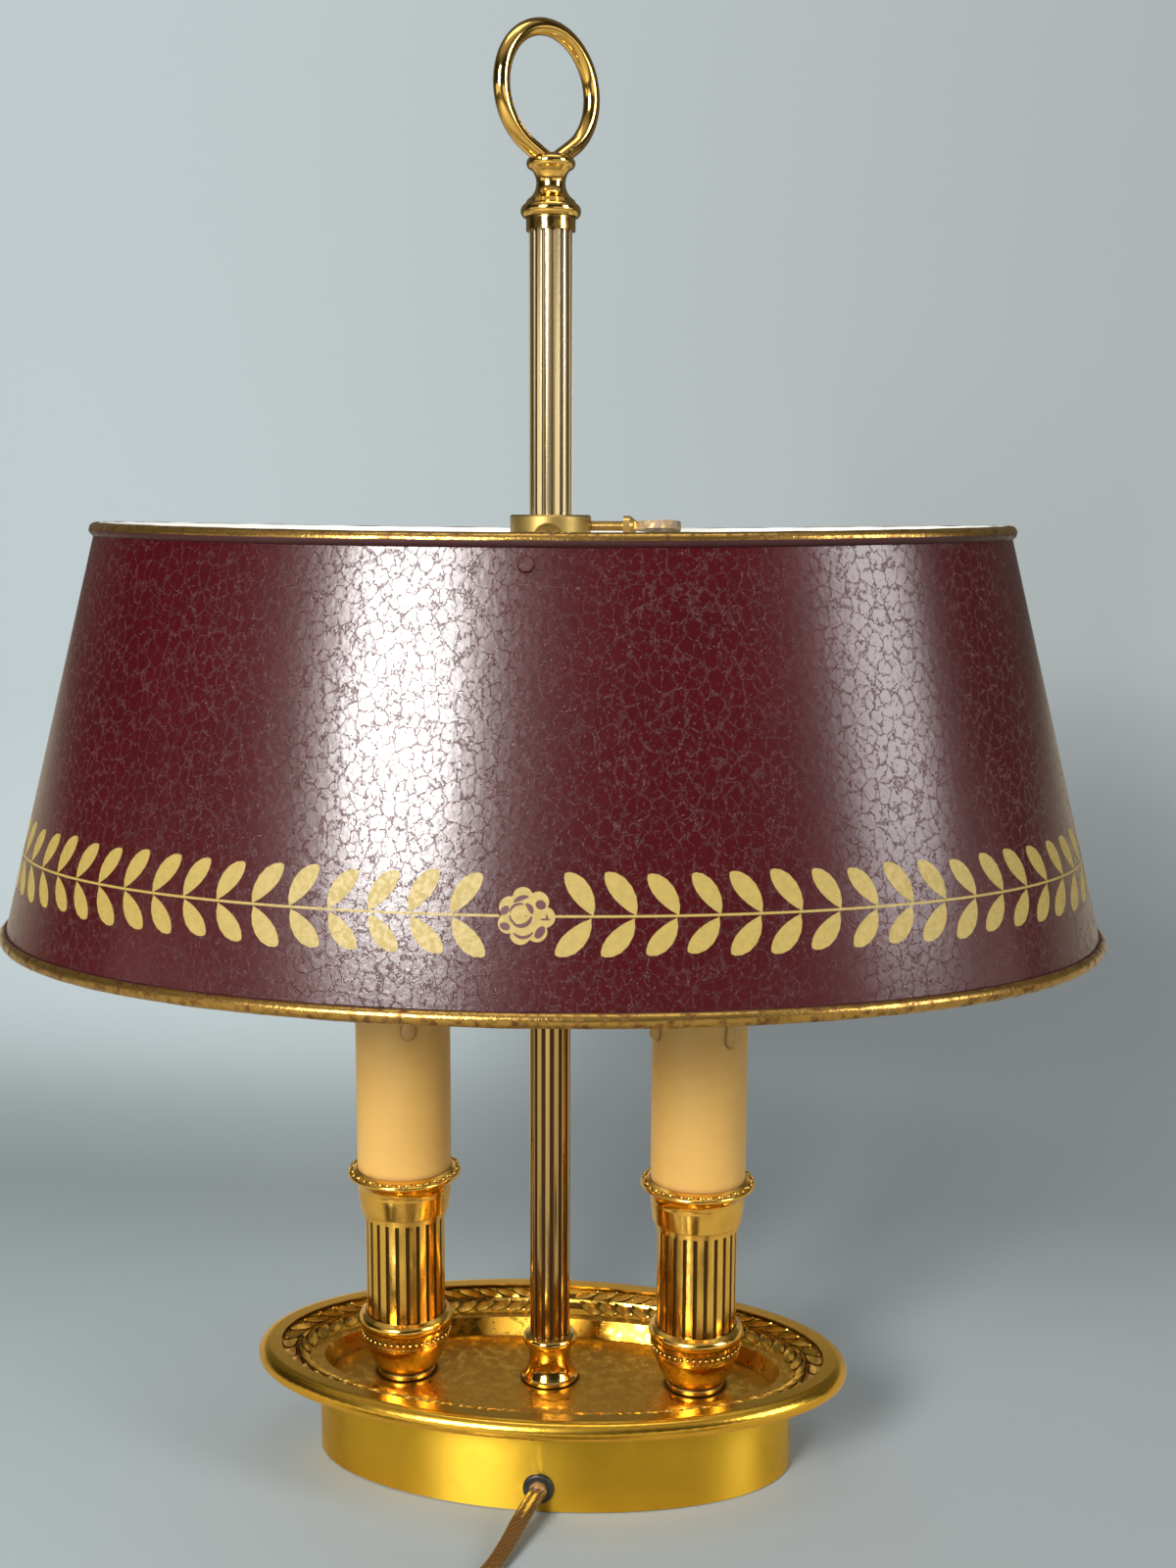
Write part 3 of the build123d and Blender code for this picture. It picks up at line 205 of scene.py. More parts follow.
class Effects:
    """Shader node groups that several finishes share, each built once."""

    _made: dict[str, bpy.types.NodeTree] = {}

    @classmethod
    def _group(cls, name: str, inputs: dict[str, tuple[str, object]], outputs: dict[str, str],
               fill: Callable[[Wiring, Node], dict[str, Socket]]) -> bpy.types.NodeTree:
        """Builds a group, or returns it if it was built before.

        Args:
            name: the group's name.
            inputs: each input's socket type and default value.
            outputs: each output's socket type.
            fill: puts the nodes in and returns the socket of each output.

        Returns:
            The group's node tree.
        """
        if name in cls._made:
            return cls._made[name]
        tree = bpy.data.node_groups.new(name, "ShaderNodeTree")
        for label, (kind, value) in inputs.items():
            tree.interface.new_socket(label, in_out="INPUT", socket_type=kind).default_value = value
        for label, kind in outputs.items():
            tree.interface.new_socket(label, in_out="OUTPUT", socket_type=kind)
        entry = tree.nodes.new("NodeGroupInput")
        leave = tree.nodes.new("NodeGroupOutput")
        for label, socket in fill(Wiring(tree), entry).items():
            tree.links.new(socket, leave.inputs[label])
        cls._made[name] = tree
        return tree

    @classmethod
    def mottle(cls) -> bpy.types.NodeTree:
        """Builds cloudy patches of a given size, sharp or soft.

        Returns:
            The group's node tree.
        """

        def fill(wiring: Wiring, entry: Node) -> dict[str, Socket]:
            """Cuts a noise at its level.

            Args:
                wiring: the group's nodes.
                entry: the group's inputs.

            Returns:
                The mask, 1 inside the patches.
            """
            level, softness = entry.outputs["Level"], entry.outputs["Softness"]
            scale = wiring.maths("DIVIDE", 1.0, entry.outputs["Size"])
            noise = wiring.noise(wiring.places(), scale, 6.0, 0.6).outputs["Fac"]
            low, high = wiring.maths("SUBTRACT", level, softness), wiring.maths("ADD", level, softness)
            return {"Mask": wiring.ramp(noise, low, high)}

        inputs = {"Size": ("NodeSocketFloat", 0.01), "Level": ("NodeSocketFloat", 0.5),
                  "Softness": ("NodeSocketFloat", 0.15)}
        return cls._group("lamp_mottle", inputs, {"Mask": "NodeSocketFloat"}, fill)

    @classmethod
    def recess(cls) -> bpy.types.NodeTree:
        """Builds the mask of the grooves and corners, found by ambient occlusion, that get dark patina and
        painted shade.

        Returns:
            The group's node tree.
        """
        begins, full = 0.92, 0.5  # open share of the surroundings where the patina and painted shade begin and are full

        def fill(wiring: Wiring, entry: Node) -> dict[str, Socket]:
            """Measures how open each place is."""
            reach = {"Distance": entry.outputs["Reach"]}
            around = wiring.node("ShaderNodeAmbientOcclusion", reach, samples=8)
            return {"Mask": wiring.ramp(around.outputs["AO"], begins, full)}

        inputs = {"Reach": ("NodeSocketFloat", 0.002)}
        return cls._group("lamp_recess", inputs, {"Mask": "NodeSocketFloat"}, fill)

    @classmethod
    def grain(cls) -> bpy.types.NodeTree:
        """Builds fine tool marks, stretched along the way the metal was worked.

        Returns:
            The group's node tree.
        """

        def fill(wiring: Wiring, entry: Node) -> dict[str, Socket]:
            """Stretches a noise along the marks."""
            marks = wiring.noise(wiring.stretched(entry.outputs["Stretch"]), 1.0, 3.0, 0.65)
            return {"Height": marks.outputs["Fac"]}

        inputs = {"Stretch": ("NodeSocketVector", (1000.0, 1000.0, 1000.0))}
        return cls._group("lamp_grain", inputs, {"Height": "NodeSocketFloat"}, fill)

    @classmethod
    def patches(cls, wiring: Wiring, size: float, level: float, softness: float) -> Socket:
        """Places cloudy patches in a material.

        Args:
            wiring: the material's nodes.
            size: width of the patches, in metres.
            level: from 0, patches everywhere, to 1, none.
            softness: how softly they end, on the scale of level.

        Returns:
            The mask, 1 inside the patches.
        """
        values = {"Size": size, "Level": level, "Softness": softness}
        return wiring.node("ShaderNodeGroup", values, node_tree=cls.mottle()).outputs["Mask"]


# ---------- finishes
@dataclass(frozen=True)
class Finish:
    """A plain opaque finish with patches of a second tone and a fine surface.

    Attributes:
        name: the material's name.
        slot: the record's material slot; not used.
        colour: the main tone.
        second: the tone of the patches.
        metallic: 1 for bare metal, 0 for everything else.
        rough: roughness outside and inside the patches.
        patch: size of the patches in metres.
        patch_level: from 0, patches everywhere, to 1, none.
        patch_share: how strongly the patches show.
        patch_edge: how softly they end, on the scale of patch_level.
        patch_top: height above which the patches fade, in metres.
        patch_left: what is left of them above it.
        grain: direction of the tool marks.
        grain_size: their width in metres.
        grain_depth: their depth in metres.
        recess: reach of the dark patina and painted shade in grooves and corners, in metres; 0 for none.
        patina_shade_colour: tone of that patina and painted shade.
        recess_rough: how much rougher it is than the finish.
        coat: share of clear gloss on top.
        coat_rough: roughness of that gloss.
        brushed: how far fine lines round the piece draw its gloss out upright.
    """

    name: str
    slot: str
    colour: Colour
    second: Colour = (0.2, 0.2, 0.2)
    metallic: float = 0.0
    rough: Span = (0.4, 0.5)
    patch: float = 0.008
    patch_level: float = 0.5
    patch_share: float = 0.4
    patch_edge: float = 0.12
    patch_top: float = 1.0
    patch_left: float = 0.15
    grain: Grain = Grain.NONE
    grain_size: float = 0.0003
    grain_depth: float = 0.00001
    recess: float = 0.0
    patina_shade_colour: Colour = (0.06, 0.03, 0.01)
    recess_rough: float = 0.3
    coat: float = 0.0
    coat_rough: float = 0.08
    brushed: float = 0.0

    def material(self) -> bpy.types.Material:
        """Builds the finish's material at its first use.

        Returns:
            The material.
        """
        known = bpy.data.materials.get(self.name)
        if known is not None:
            return known
        made = bpy.data.materials.new(self.name)
        made.use_nodes = True
        skin = Skin(made.node_tree)
        self.fill(skin)
        skin.node("ShaderNodeOutputMaterial", {"Surface": self.surface(skin)})
        return made

    def surface(self, skin: Skin) -> Socket:
        """Returns what goes into the material's output; here the shader itself."""
        return skin.shader.outputs[0]

    def patches(self, skin: Skin) -> Socket:
        """Returns the mask of the finish's own patches."""
        return Effects.patches(skin, self.patch, self.patch_level, self.patch_edge)

    def fill(self, skin: Skin) -> None:
        """Puts the finish's nodes before its shader.

        Args:
            skin: the material's nodes and shader.
        """
        patches = self.patches(skin)
        if self.patch_top < 1.0:
            height = skin.axes(skin.places())[2]
            low = skin.ramp(height, self.patch_top + 2.0 * MM, self.patch_top, self.patch_left, 1.0)
            patches = skin.times(patches, low)
        share = skin.times(patches, self.patch_share)
        tone = skin.blend(share, self.colour, self.second)
        rough = skin.ramp(patches, 0.0, 1.0, *self.rough)
        grooves = self.dark_places(skin)
        if grooves is not None:
            tone = skin.blend(grooves, tone, self.patina_shade_colour)
            rough = skin.maths("ADD", rough, skin.times(grooves, self.recess_rough), clamp=True)
        stretch = tuple(axis / self.grain_size for axis in self.grain.value)
        marks = skin.node("ShaderNodeGroup", {"Stretch": stretch}, node_tree=Effects.grain())
        self.dress(skin, tone, rough, skin.bump(marks.outputs["Height"], self.grain_depth))

    def dark_places(self, skin: Skin) -> Socket | None:
        """Finds what the patina and the painted shade darken.

        Args:
            skin: the material's nodes and shader.

        Returns:
            The mask, 1 in the darkest places, or None where the finish has no recess.
        """
        if self.recess <= 0.0:
            return None
        grooves = skin.node("ShaderNodeGroup", {"Reach": self.recess}, node_tree=Effects.recess())
        return grooves.outputs["Mask"]

    def dress(self, skin: Skin, tone: Socket, rough: Socket, normal: Socket) -> None:
        """Sets the shader's sockets.

        Args:
            skin: the material's nodes and shader.
            tone: the colour over the surface.
            rough: the roughness over the surface.
            normal: the fine relief's normal.
        """
        skin.feed(skin.shader, {"Base Color": tone, "Roughness": rough, "Normal": normal,
                                "Metallic": self.metallic, "Coat Weight": self.coat,
                                "Coat Roughness": self.coat_rough})
        if self.brushed > 0.0:
            upright = skin.vector("ADD", skin.stretched((0.0, 0.0, 1.0)), (0.0, 0.0, 1.0))
            skin.feed(skin.shader, {"Anisotropic": self.brushed, "Tangent": upright})


@dataclass(frozen=True)
class ChippedGilt(Finish):
    """Worn gilding with a few pale chips.

    Attributes:
        chip: tone of the chips.
        chip_size: their width, in metres.
        chip_level: from 0, chips everywhere, to 1, none.
        chip_edge: how softly they end, on the scale of chip_level.
    """

    chip: Colour = (0.62, 0.56, 0.48)
    chip_size: float = 0.0042
    chip_level: float = 0.72
    chip_edge: float = 0.02

    def dress(self, skin: Skin, tone: Socket, rough: Socket, normal: Socket) -> None:
        """Adds the chips before the shader's sockets are set.

        Args:
            skin: the material's nodes and shader.
            tone: the colour over the surface.
            rough: the roughness over the surface.
            normal: the fine relief's normal.
        """
        chips = Effects.patches(skin, self.chip_size, self.chip_level, self.chip_edge)
        super().dress(skin, skin.blend(chips, tone, self.chip), rough, normal)
        skin.feed(skin.shader, {"Metallic": skin.ramp(chips, 0.0, 1.0, self.metallic, 0.0)})


@dataclass(frozen=True)
class FlutedMetal(Finish):
    """Metal of a fluted shaft, whose flutes are darkened with patina and painted shade.

    Attributes:
        axis_x: where the shaft's axis stands.
        radius: the shaft's radius between the flutes.
        sunk: depths below that radius where the patina and painted shade begin and are full, in metres.
        flute_share: how dark it is there.
    """

    axis_x: float = 0.0
    radius: float = 0.01
    sunk: Span = (0.00008, 0.00022)
    flute_share: float = 0.93

    def dark_places(self, skin: Skin) -> Socket:
        """Returns the mask of what lies deeper than the shaft's own radius."""
        begins, full = (self.radius - depth for depth in self.sunk)
        return skin.ramp(skin.from_axis(self.axis_x), begins, full, 0.0, self.flute_share)


@dataclass(frozen=True)
class CrackledLacquer(Finish):
    """Burgundy lacquer with a network of fine cracks and a finer one inside it.

    Attributes:
        cell: width of the pieces between the main cracks, in metres.
        cell_shape: the pieces' width against their height.
        fine: size of the fine network against the main one.
        stray: how far a crack strays from a straight line, as a share of its piece.
        crack: width of a crack as a share of its piece.
        crack_colour: tone of the worn crack.
        crack_tint: how far a crack takes that tone.
        crack_depth: depth of the relief, in metres.
        broken: from 0 to 1, how much of the main and of the fine network is broken away.
        line_share: how strongly the main and the fine network show.
        fine_rough: how rough the fine network is against the main one.
        fine_depth: how deep the fine network is against the main one.
        ripples: how many ripples the lacquer's skin has on a metre.
        ripple_depth: their depth, in metres.
    """

    cell: float = 0.0034
    cell_shape: float = 0.78
    fine: float = 0.47
    stray: float = 1.1
    crack: float = 0.023
    crack_colour: Colour = (0.17, 0.030, 0.034)
    crack_tint: float = 0.62
    crack_depth: float = 0.00014
    broken: Span = (0.44, 0.60)
    line_share: Span = (0.62, 0.36)
    fine_rough: float = 0.4
    fine_depth: float = 0.3
    ripples: float = 520.0
    ripple_depth: float = 0.00006

    def cracks(self, skin: Skin, cell: float, broken: float) -> tuple[Socket, Socket]:
        """Draws one network of cracks.

        Args:
            skin: the material's nodes and shader.
            cell: width of its pieces, in metres.
            broken: from 0 to 1, how much of the lines is broken away.

        Returns:
            The lines and their wider ridges.
        """
        upright = skin.stretched((1.0, 1.0, self.cell_shape))
        wander = skin.noise(upright, 1.9 / cell, 4.0, 0.7).outputs["Color"]
        centred = skin.vector("SUBTRACT", wander, (0.5, 0.5, 0.5))
        shift = skin.vector("MULTIPLY", centred, (cell * self.stray,) * 3)
        inputs = {"Vector": skin.vector("ADD", upright, shift), "Scale": 1.0 / cell, "Randomness": 1.0}
        edge = skin.node("ShaderNodeTexVoronoi", inputs, feature="DISTANCE_TO_EDGE").outputs["Distance"]
        kept = Effects.patches(skin, cell * 0.62, broken, 0.06)
        line = skin.times(skin.ramp(edge, self.crack, 0.0), kept)
        ridge = skin.times(skin.ramp(edge, self.crack * 2.0, 0.0), kept)
        return line, ridge

    def fill(self, skin: Skin) -> None:
        """Puts the cracks, their breaks and their relief before the shader.

        Args:
            skin: the material's nodes and shader.
        """
        line, ridge = self.cracks(skin, self.cell, self.broken[0])
        fine, fine_ridge = self.cracks(skin, self.cell * self.fine, self.broken[1])
        shown, fine_shown = (skin.times(*pair) for pair in zip((line, fine), self.line_share))
        lines = skin.maths("ADD", shown, fine_shown, clamp=True)
        share = skin.times(self.patches(skin), self.patch_share)
        base = skin.blend(share, self.colour, self.second)
        tone = skin.blend(skin.times(lines, self.crack_tint), base, self.crack_colour)
        worn = skin.maths("ADD", line, skin.times(fine, self.fine_rough), clamp=True)
        rough = skin.ramp(worn, 0.0, 1.0, *self.rough)
        ripples = skin.noise(skin.places(), self.ripples, 3.0).outputs["Fac"]
        relief = skin.maths("ADD", ridge, skin.times(fine_ridge, self.fine_depth))
        normal = skin.bump(relief, self.crack_depth, skin.bump(ripples, self.ripple_depth))
        self.dress(skin, tone, rough, normal)


@dataclass(frozen=True)
class ClearGlass(Finish):
    """Clear glass of a bulb.

    Attributes:
        refraction: how strongly it bends light.
        waves: how many waves blown glass has on a metre.
        wave_depth: their depth, in metres.
    """

    refraction: float = 1.45
    waves: float = 90.0
    wave_depth: float = 0.00004

    def fill(self, skin: Skin) -> None:
        """Sets the glass's plain values and its slight waviness.

        Args:
            skin: the material's nodes and shader.
        """
        waves = skin.noise(skin.places(), self.waves, 1.0).outputs["Fac"]
        skin.feed(skin.shader, {"Base Color": self.colour, "Roughness": self.rough[0],
                                "Transmission Weight": 1.0, "IOR": self.refraction,
                                "Normal": skin.bump(waves, self.wave_depth)})


@dataclass(frozen=True)
class TwinCordPlastic(Finish):
    """Clear gold sheath with the twisted copper strands showing through.

    Attributes:
        strand: tone of the strands.
        strand_share: how strongly they show.
        lay: number of strand turns over the whole cord.
        strands: number of strands across it.
    """

    strand: Colour = (0.34, 0.19, 0.07)
    strand_share: float = 0.3
    lay: float = 500.0
    strands: float = 6.0

    def fill(self, skin: Skin) -> None:
        """Puts the strands' slanted stripes under the gloss of the sheath.

        Args:
            skin: the material's nodes and shader.
        """
        run = skin.node("ShaderNodeTexCoord").outputs["UV"]
        scale = (self.lay, self.strands, 1.0)
        turned = skin.node("ShaderNodeMapping", {"Vector": run, "Scale": scale}).outputs[0]
        inputs = {"Vector": turned, "Scale": 1.0, "Distortion": 0.6, "Detail": 1.0}
        stripes = skin.node("ShaderNodeTexWave", inputs, bands_direction="DIAGONAL").outputs["Fac"]
        patches = self.patches(skin)
        tone = skin.blend(skin.times(stripes, self.strand_share), self.colour, self.strand)
        tone = skin.blend(skin.times(patches, self.patch_share), tone, self.second)
        rough = skin.ramp(patches, 0.0, 1.0, *self.rough)
        self.dress(skin, tone, rough, skin.bump(stripes, self.grain_depth))


@dataclass(frozen=True)
class BackdropPaper(Finish):
    """Pale paper that can't be seen from behind.

    Attributes:
        bend: depth at which the paper leaves the floor, in metres.
        bend_shade: painted shade where the paper bends, left of the lamp: how much darker it is there.
        bend_reach: how far before the bend that begins, in metres.
        floor_shade: painted shade on the floor: how much darker it is than the upright paper.
        top_shade: painted shade on the paper's upper part: how much darker it is.
        sides: X at which the main tone begins to change and at which it is the second one; painted light,
            darker to the right.
        painted_reflection: painted reflection: tone that polished metal shows of the paper's upper part.
        low_painted_reflection: painted reflection: tone that polished metal shows of its lower part.
        sight: distances from the lamp at which it begins to fade from sight and is gone.
    """

    bend: float = 0.22
    bend_shade: float = 0.22
    bend_reach: float = 0.17
    floor_shade: float = 0.12
    top_shade: float = 0.1
    sides: Span = (-0.35, 0.38)
    painted_reflection: Colour = (0.07, 0.066, 0.056)
    low_painted_reflection: Colour = (0.46, 0.42, 0.32)
    sight: Span = (0.62, 1.05)

    def shade(self, skin: Skin, side: Socket, depth: Socket, height: Socket) -> Socket:
        """Works out the painted light and shade over the paper.

        Args:
            skin: the material's nodes and shader.
            side: X over the surface.
            depth: Y over the surface.
            height: Z over the surface.

        Returns:
            The brightness, 1 where no painted shade darkens the paper.
        """
        floor = skin.times(skin.ramp(height, 0.03, 0.0), self.floor_shade)
        bent = skin.times(skin.ramp(depth, self.bend - self.bend_reach, self.bend),
                          skin.ramp(height, 0.05, 0.004))
        band = skin.times(bent, skin.ramp(side, 0.0, 0.12, self.bend_shade, self.bend_shade * 0.1))
        top = skin.times(skin.ramp(height, 0.15, 0.6), self.top_shade)
        bright = skin.maths("SUBTRACT", 1.0, floor)
        return skin.maths("SUBTRACT", skin.maths("SUBTRACT", bright, band), top)

    def fill(self, skin: Skin) -> None:
        """Puts the paper's painted light and shade, slow changes of tone, before the shader.

        Args:
            skin: the material's nodes and shader.
        """
        side, depth, height = skin.axes(skin.places())
        # painted light: the paper is lighter to the left and darker to the right
        tone = skin.blend(skin.ramp(side, *self.sides), self.colour, self.second)
        # painted shade: darker floor, darker band in the bend left of the lamp, darker upper part
        bright = self.shade(skin, side, depth, height)
        grey = skin.node("ShaderNodeCombineColor", {0: bright, 1: bright, 2: bright}).outputs[0]
        tone = skin.blend(1.0, tone, grey, "MULTIPLY")
        # painted reflection: glossy rays see the paper light low down and dark higher up
        glossy = skin.node("ShaderNodeLightPath").outputs["Is Glossy Ray"]
        shine = skin.blend(skin.ramp(height, 0.17, 0.30), self.low_painted_reflection, self.painted_reflection)
        skin.feed(skin.shader, {"Base Color": skin.blend(glossy, tone, shine), "Roughness": self.rough[0],
                                "Specular IOR Level": 0.2})

    def surface(self, skin: Skin) -> Socket:
        """Clears the paper behind its back and far from the lamp.

        Args:
            skin: the material's nodes and shader.

        Returns:
            The mixed shader.
        """
        behind = skin.node("ShaderNodeNewGeometry").outputs["Backfacing"]
        looked_at = skin.node("ShaderNodeLightPath").outputs["Is Camera Ray"]
        far = skin.times(skin.ramp(skin.from_axis(), *self.sight), looked_at)
        gone = skin.maths("MAXIMUM", behind, far)
        clear = skin.node("ShaderNodeBsdfTransparent").outputs[0]
        return skin.node("ShaderNodeMixShader", {0: gone, 1: skin.shader.outputs[0], 2: clear}).outputs[0]


@dataclass(frozen=True)
class ScrewBrass(Finish):
    """Worn plated metal of a screw, with a fine thread on its shank.

    Attributes:
        axis: the screw's axis, as a unit vector.
        pitch: the thread's pitch, in metres.
        thread_depth: depth of the thread, in metres.
        end: where the thread ends along the axis, in metres.
        runout: length over which it ends, in metres.
        wing: how far past that end the wing's tone begins and is full, in metres.
        wear: what the patches leave of the wing's tone.
    """

    axis: Point = (1.0, 0.0, 0.0)
    pitch: float = 0.0005
    thread_depth: float = 0.00012
    end: float = 0.0219
    runout: float = 0.0004
    wing: Span = (0.003, 0.006)
    wear: float = 0.55

    def fill(self, skin: Skin) -> None:
        """Puts the thread's ridges on the shank and worn patches on the wing.

        Args:
            skin: the material's nodes and shader.
        """
        inputs = {0: skin.places(), 1: self.axis}
        along = skin.node("ShaderNodeVectorMath", inputs, operation="DOT_PRODUCT").outputs["Value"]
        wave = skin.maths("SINE", skin.times(along, FULL_TURN / self.pitch), 0.0)
        thread = skin.times(wave, skin.ramp(along, self.end, self.end - self.runout))
        wing = skin.ramp(along, self.end + self.wing[0], self.end + self.wing[1])
        share = skin.times(wing, skin.ramp(self.patches(skin), 0.0, 1.0, 1.0, self.wear))
        tone = skin.blend(share, self.colour, self.second)
        rough = skin.ramp(share, 0.0, 1.0, *self.rough)
        self.dress(skin, tone, rough, skin.bump(thread, self.thread_depth))


# Each finish gives its name, its slot, its main tone and the tone of its patches, then what sets it apart.
# gilt and brass
CAST_GILT = Finish(
    "cast_gilt", "gilt_cast", (0.90, 0.55, 0.11), (0.66, 0.33, 0.06), metallic=1.0, rough=(0.12, 0.22),
    patch=0.006, grain=Grain.CAST, grain_size=0.0009, grain_depth=0.000006, recess=0.0014,
    patina_shade_colour=(0.035, 0.015, 0.005))
LEFT_SHAFT_GILT = FlutedMetal(
    "left_shaft_gilt", "gilt_cast", (0.92, 0.58, 0.13), (0.74, 0.38, 0.06), metallic=1.0,
    rough=(0.12, 0.22), grain=Grain.TURNED, grain_size=0.0006, grain_depth=0.000005,
    patina_shade_colour=(0.022, 0.009, 0.003), axis_x=-HOLDER_X, radius=12.7 * MM)
RIGHT_SHAFT_GILT = replace(LEFT_SHAFT_GILT, name="right_shaft_gilt", axis_x=HOLDER_X)
TRAY_GILT = Finish(
    "tray_gilt", "gilt_cast", (0.80, 0.46, 0.05), (0.36, 0.16, 0.02), metallic=1.0, rough=(0.21, 0.42),
    patch=0.0034, patch_level=0.46, patch_share=0.55, grain=Grain.CAST, grain_size=0.0010,
    grain_depth=0.00002, recess=0.003, patina_shade_colour=(0.05, 0.022, 0.006), patch_top=0.0302)
LEAF_GILT = Finish(
    "leaf_gilt", "gilt_cast", (0.82, 0.48, 0.08), (0.50, 0.25, 0.04), metallic=1.0, rough=(0.16, 0.28),
    patch=0.003, grain=Grain.CAST, grain_size=0.0005, recess=0.0012, patina_shade_colour=(0.022, 0.010, 0.003))
# Dark ground between the dish's leaves: patina and painted shade.
BAND_PATINA_AND_SHADE = Finish(
    "band_patina_and_shade", "gilt_cast", (0.17, 0.075, 0.014), (0.08, 0.034, 0.008), metallic=1.0, rough=(0.3, 0.5),
    patch=0.003, patch_share=0.8, grain=Grain.CAST, grain_size=0.0005, grain_depth=0.00002)
SHEET_BRASS = Finish(
    "sheet_brass", "brass_sheet", (0.74, 0.47, 0.04), (0.60, 0.36, 0.03), metallic=1.0, rough=(0.33, 0.38),
    patch=0.02, grain=Grain.BRUSHED, grain_size=0.00025, grain_depth=0.000006, brushed=0.92)
TURNED_BRASS = Finish(
    "turned_brass", "brass_turned", (0.87, 0.56, 0.15), (0.62, 0.32, 0.07), metallic=1.0,
    rough=(0.09, 0.17), patch_level=0.58, grain=Grain.TURNED, grain_size=0.0004, grain_depth=0.000004,
    recess=0.0011, patina_shade_colour=(0.05, 0.022, 0.006))
# Below patch_top the column's dark patches are painted shadow of the shade; above it little of them is left.
COLUMN_BRASS = FlutedMetal(
    "column_brass", "brass_turned", (0.99, 0.84, 0.50), (0.46, 0.26, 0.07), metallic=1.0,
    rough=(0.18, 0.14), patch_level=0.15, patch_share=0.75, grain=Grain.TURNED, grain_size=0.0004,
    grain_depth=0.000004, patina_shade_colour=(0.035, 0.014, 0.004), patch_top=0.30, radius=6.4 * MM)
COLLAR_BRASS = Finish(
    "collar_brass", "brass_turned", (0.50, 0.36, 0.12), (0.36, 0.24, 0.07), metallic=1.0,
    rough=(0.32, 0.42), patch=0.005, grain=Grain.TURNED, grain_size=0.0004, recess=0.001,
    patina_shade_colour=(0.14, 0.07, 0.02))
SCREW_AXIS = (math.cos(math.radians(SHADE_TURN)), math.sin(math.radians(SHADE_TURN)), 0.0)
SCREW_PLATE = ScrewBrass(
    "screw_plate", "brass_turned", (0.66, 0.42, 0.13), (0.27, 0.20, 0.14), metallic=0.8, rough=(0.2, 0.68),
    patch=0.003, axis=SCREW_AXIS, patch_edge=0.1)
# shade
WORN_BEAD = ChippedGilt(
    "worn_bead", "gilt_bead", (0.42, 0.25, 0.06), (0.10, 0.03, 0.014), metallic=0.9, rough=(0.22, 0.42),
    patch=0.003, patch_level=0.56, patch_share=0.85, grain=Grain.CAST, grain_size=0.0014,
    grain_depth=0.0001)
BEAD_SHADOW = Finish(
    "bead_shadow", "lacquer", (0.035, 0.004, 0.006), (0.02, 0.003, 0.004), rough=(0.35, 0.5), patch=0.003)
LACQUER = CrackledLacquer(
    "crackled_lacquer", "lacquer", (0.047, 0.0009, 0.0026), (0.036, 0.0008, 0.0028), rough=(0.238, 0.44),
    patch_share=0.6, coat=0.22, coat_rough=0.23, patch=0.03, patch_edge=0.2)
SHADE_WHITE = Finish(
    "shade_white", "lacquer", (0.80, 0.78, 0.72), (0.72, 0.68, 0.58), rough=(0.5, 0.6), patch=0.02,
    patch_share=0.3, grain_size=0.0006, grain_depth=0.00002)
LAUREL_PRINT = Finish(
    "laurel_print", "lacquer", (0.36, 0.255, 0.062), (0.27, 0.20, 0.04), rough=(0.42, 0.55), patch=0.0015,
    patch_share=0.6, grain_size=0.0007, grain_depth=0.00003)
PRINT_GROUND = Finish("print_ground", "lacquer", (0.075, 0.008, 0.012), (0.05, 0.006, 0.01), patch=0.003)
# candles, sockets and bulbs
# On the candle and its wax the recess darkening is painted shade where wax, candle and cup meet.
CANDLE_IVORY = Finish(
    "candle_ivory", "candle_card", (0.62, 0.36, 0.092), (0.54, 0.29, 0.065), rough=(0.42, 0.5), patch=0.02,
    patch_share=0.35, grain_size=0.0008, recess=0.0035, patina_shade_colour=(0.22, 0.10, 0.03))
WAX = Finish(
    "candle_wax", "candle_card", (0.58, 0.34, 0.10), (0.46, 0.25, 0.07), rough=(0.25, 0.35), patch=0.004,
    recess=0.002, patina_shade_colour=(0.22, 0.10, 0.03))
BLACK_MOULDING = Finish(
    "black_moulding", "socket_black", (0.02, 0.02, 0.02), (0.04, 0.04, 0.04), rough=(0.22, 0.3))
SHELL_BRASS = Finish(
    "shell_brass", "shell_brass", (0.75, 0.52, 0.2), (0.6, 0.38, 0.12), metallic=1.0, rough=(0.25, 0.35))
BULB_GLASS = ClearGlass("bulb_glass", "bulb_glass", (0.97, 0.98, 0.97), rough=(0.02, 0.02))
CAP_METAL = Finish(
    "cap_metal", "cap_metal", (0.72, 0.72, 0.72), (0.55, 0.55, 0.55), metallic=1.0, rough=(0.25, 0.35),
    patch=0.003, patch_share=0.3, grain=Grain.TURNED, grain_size=0.003, grain_depth=0.0004)
FILAMENT = Finish(
    "filament_wire", "steel", (0.45, 0.44, 0.42), (0.3, 0.3, 0.3), metallic=1.0, rough=(0.35, 0.45),
    patch=0.002)
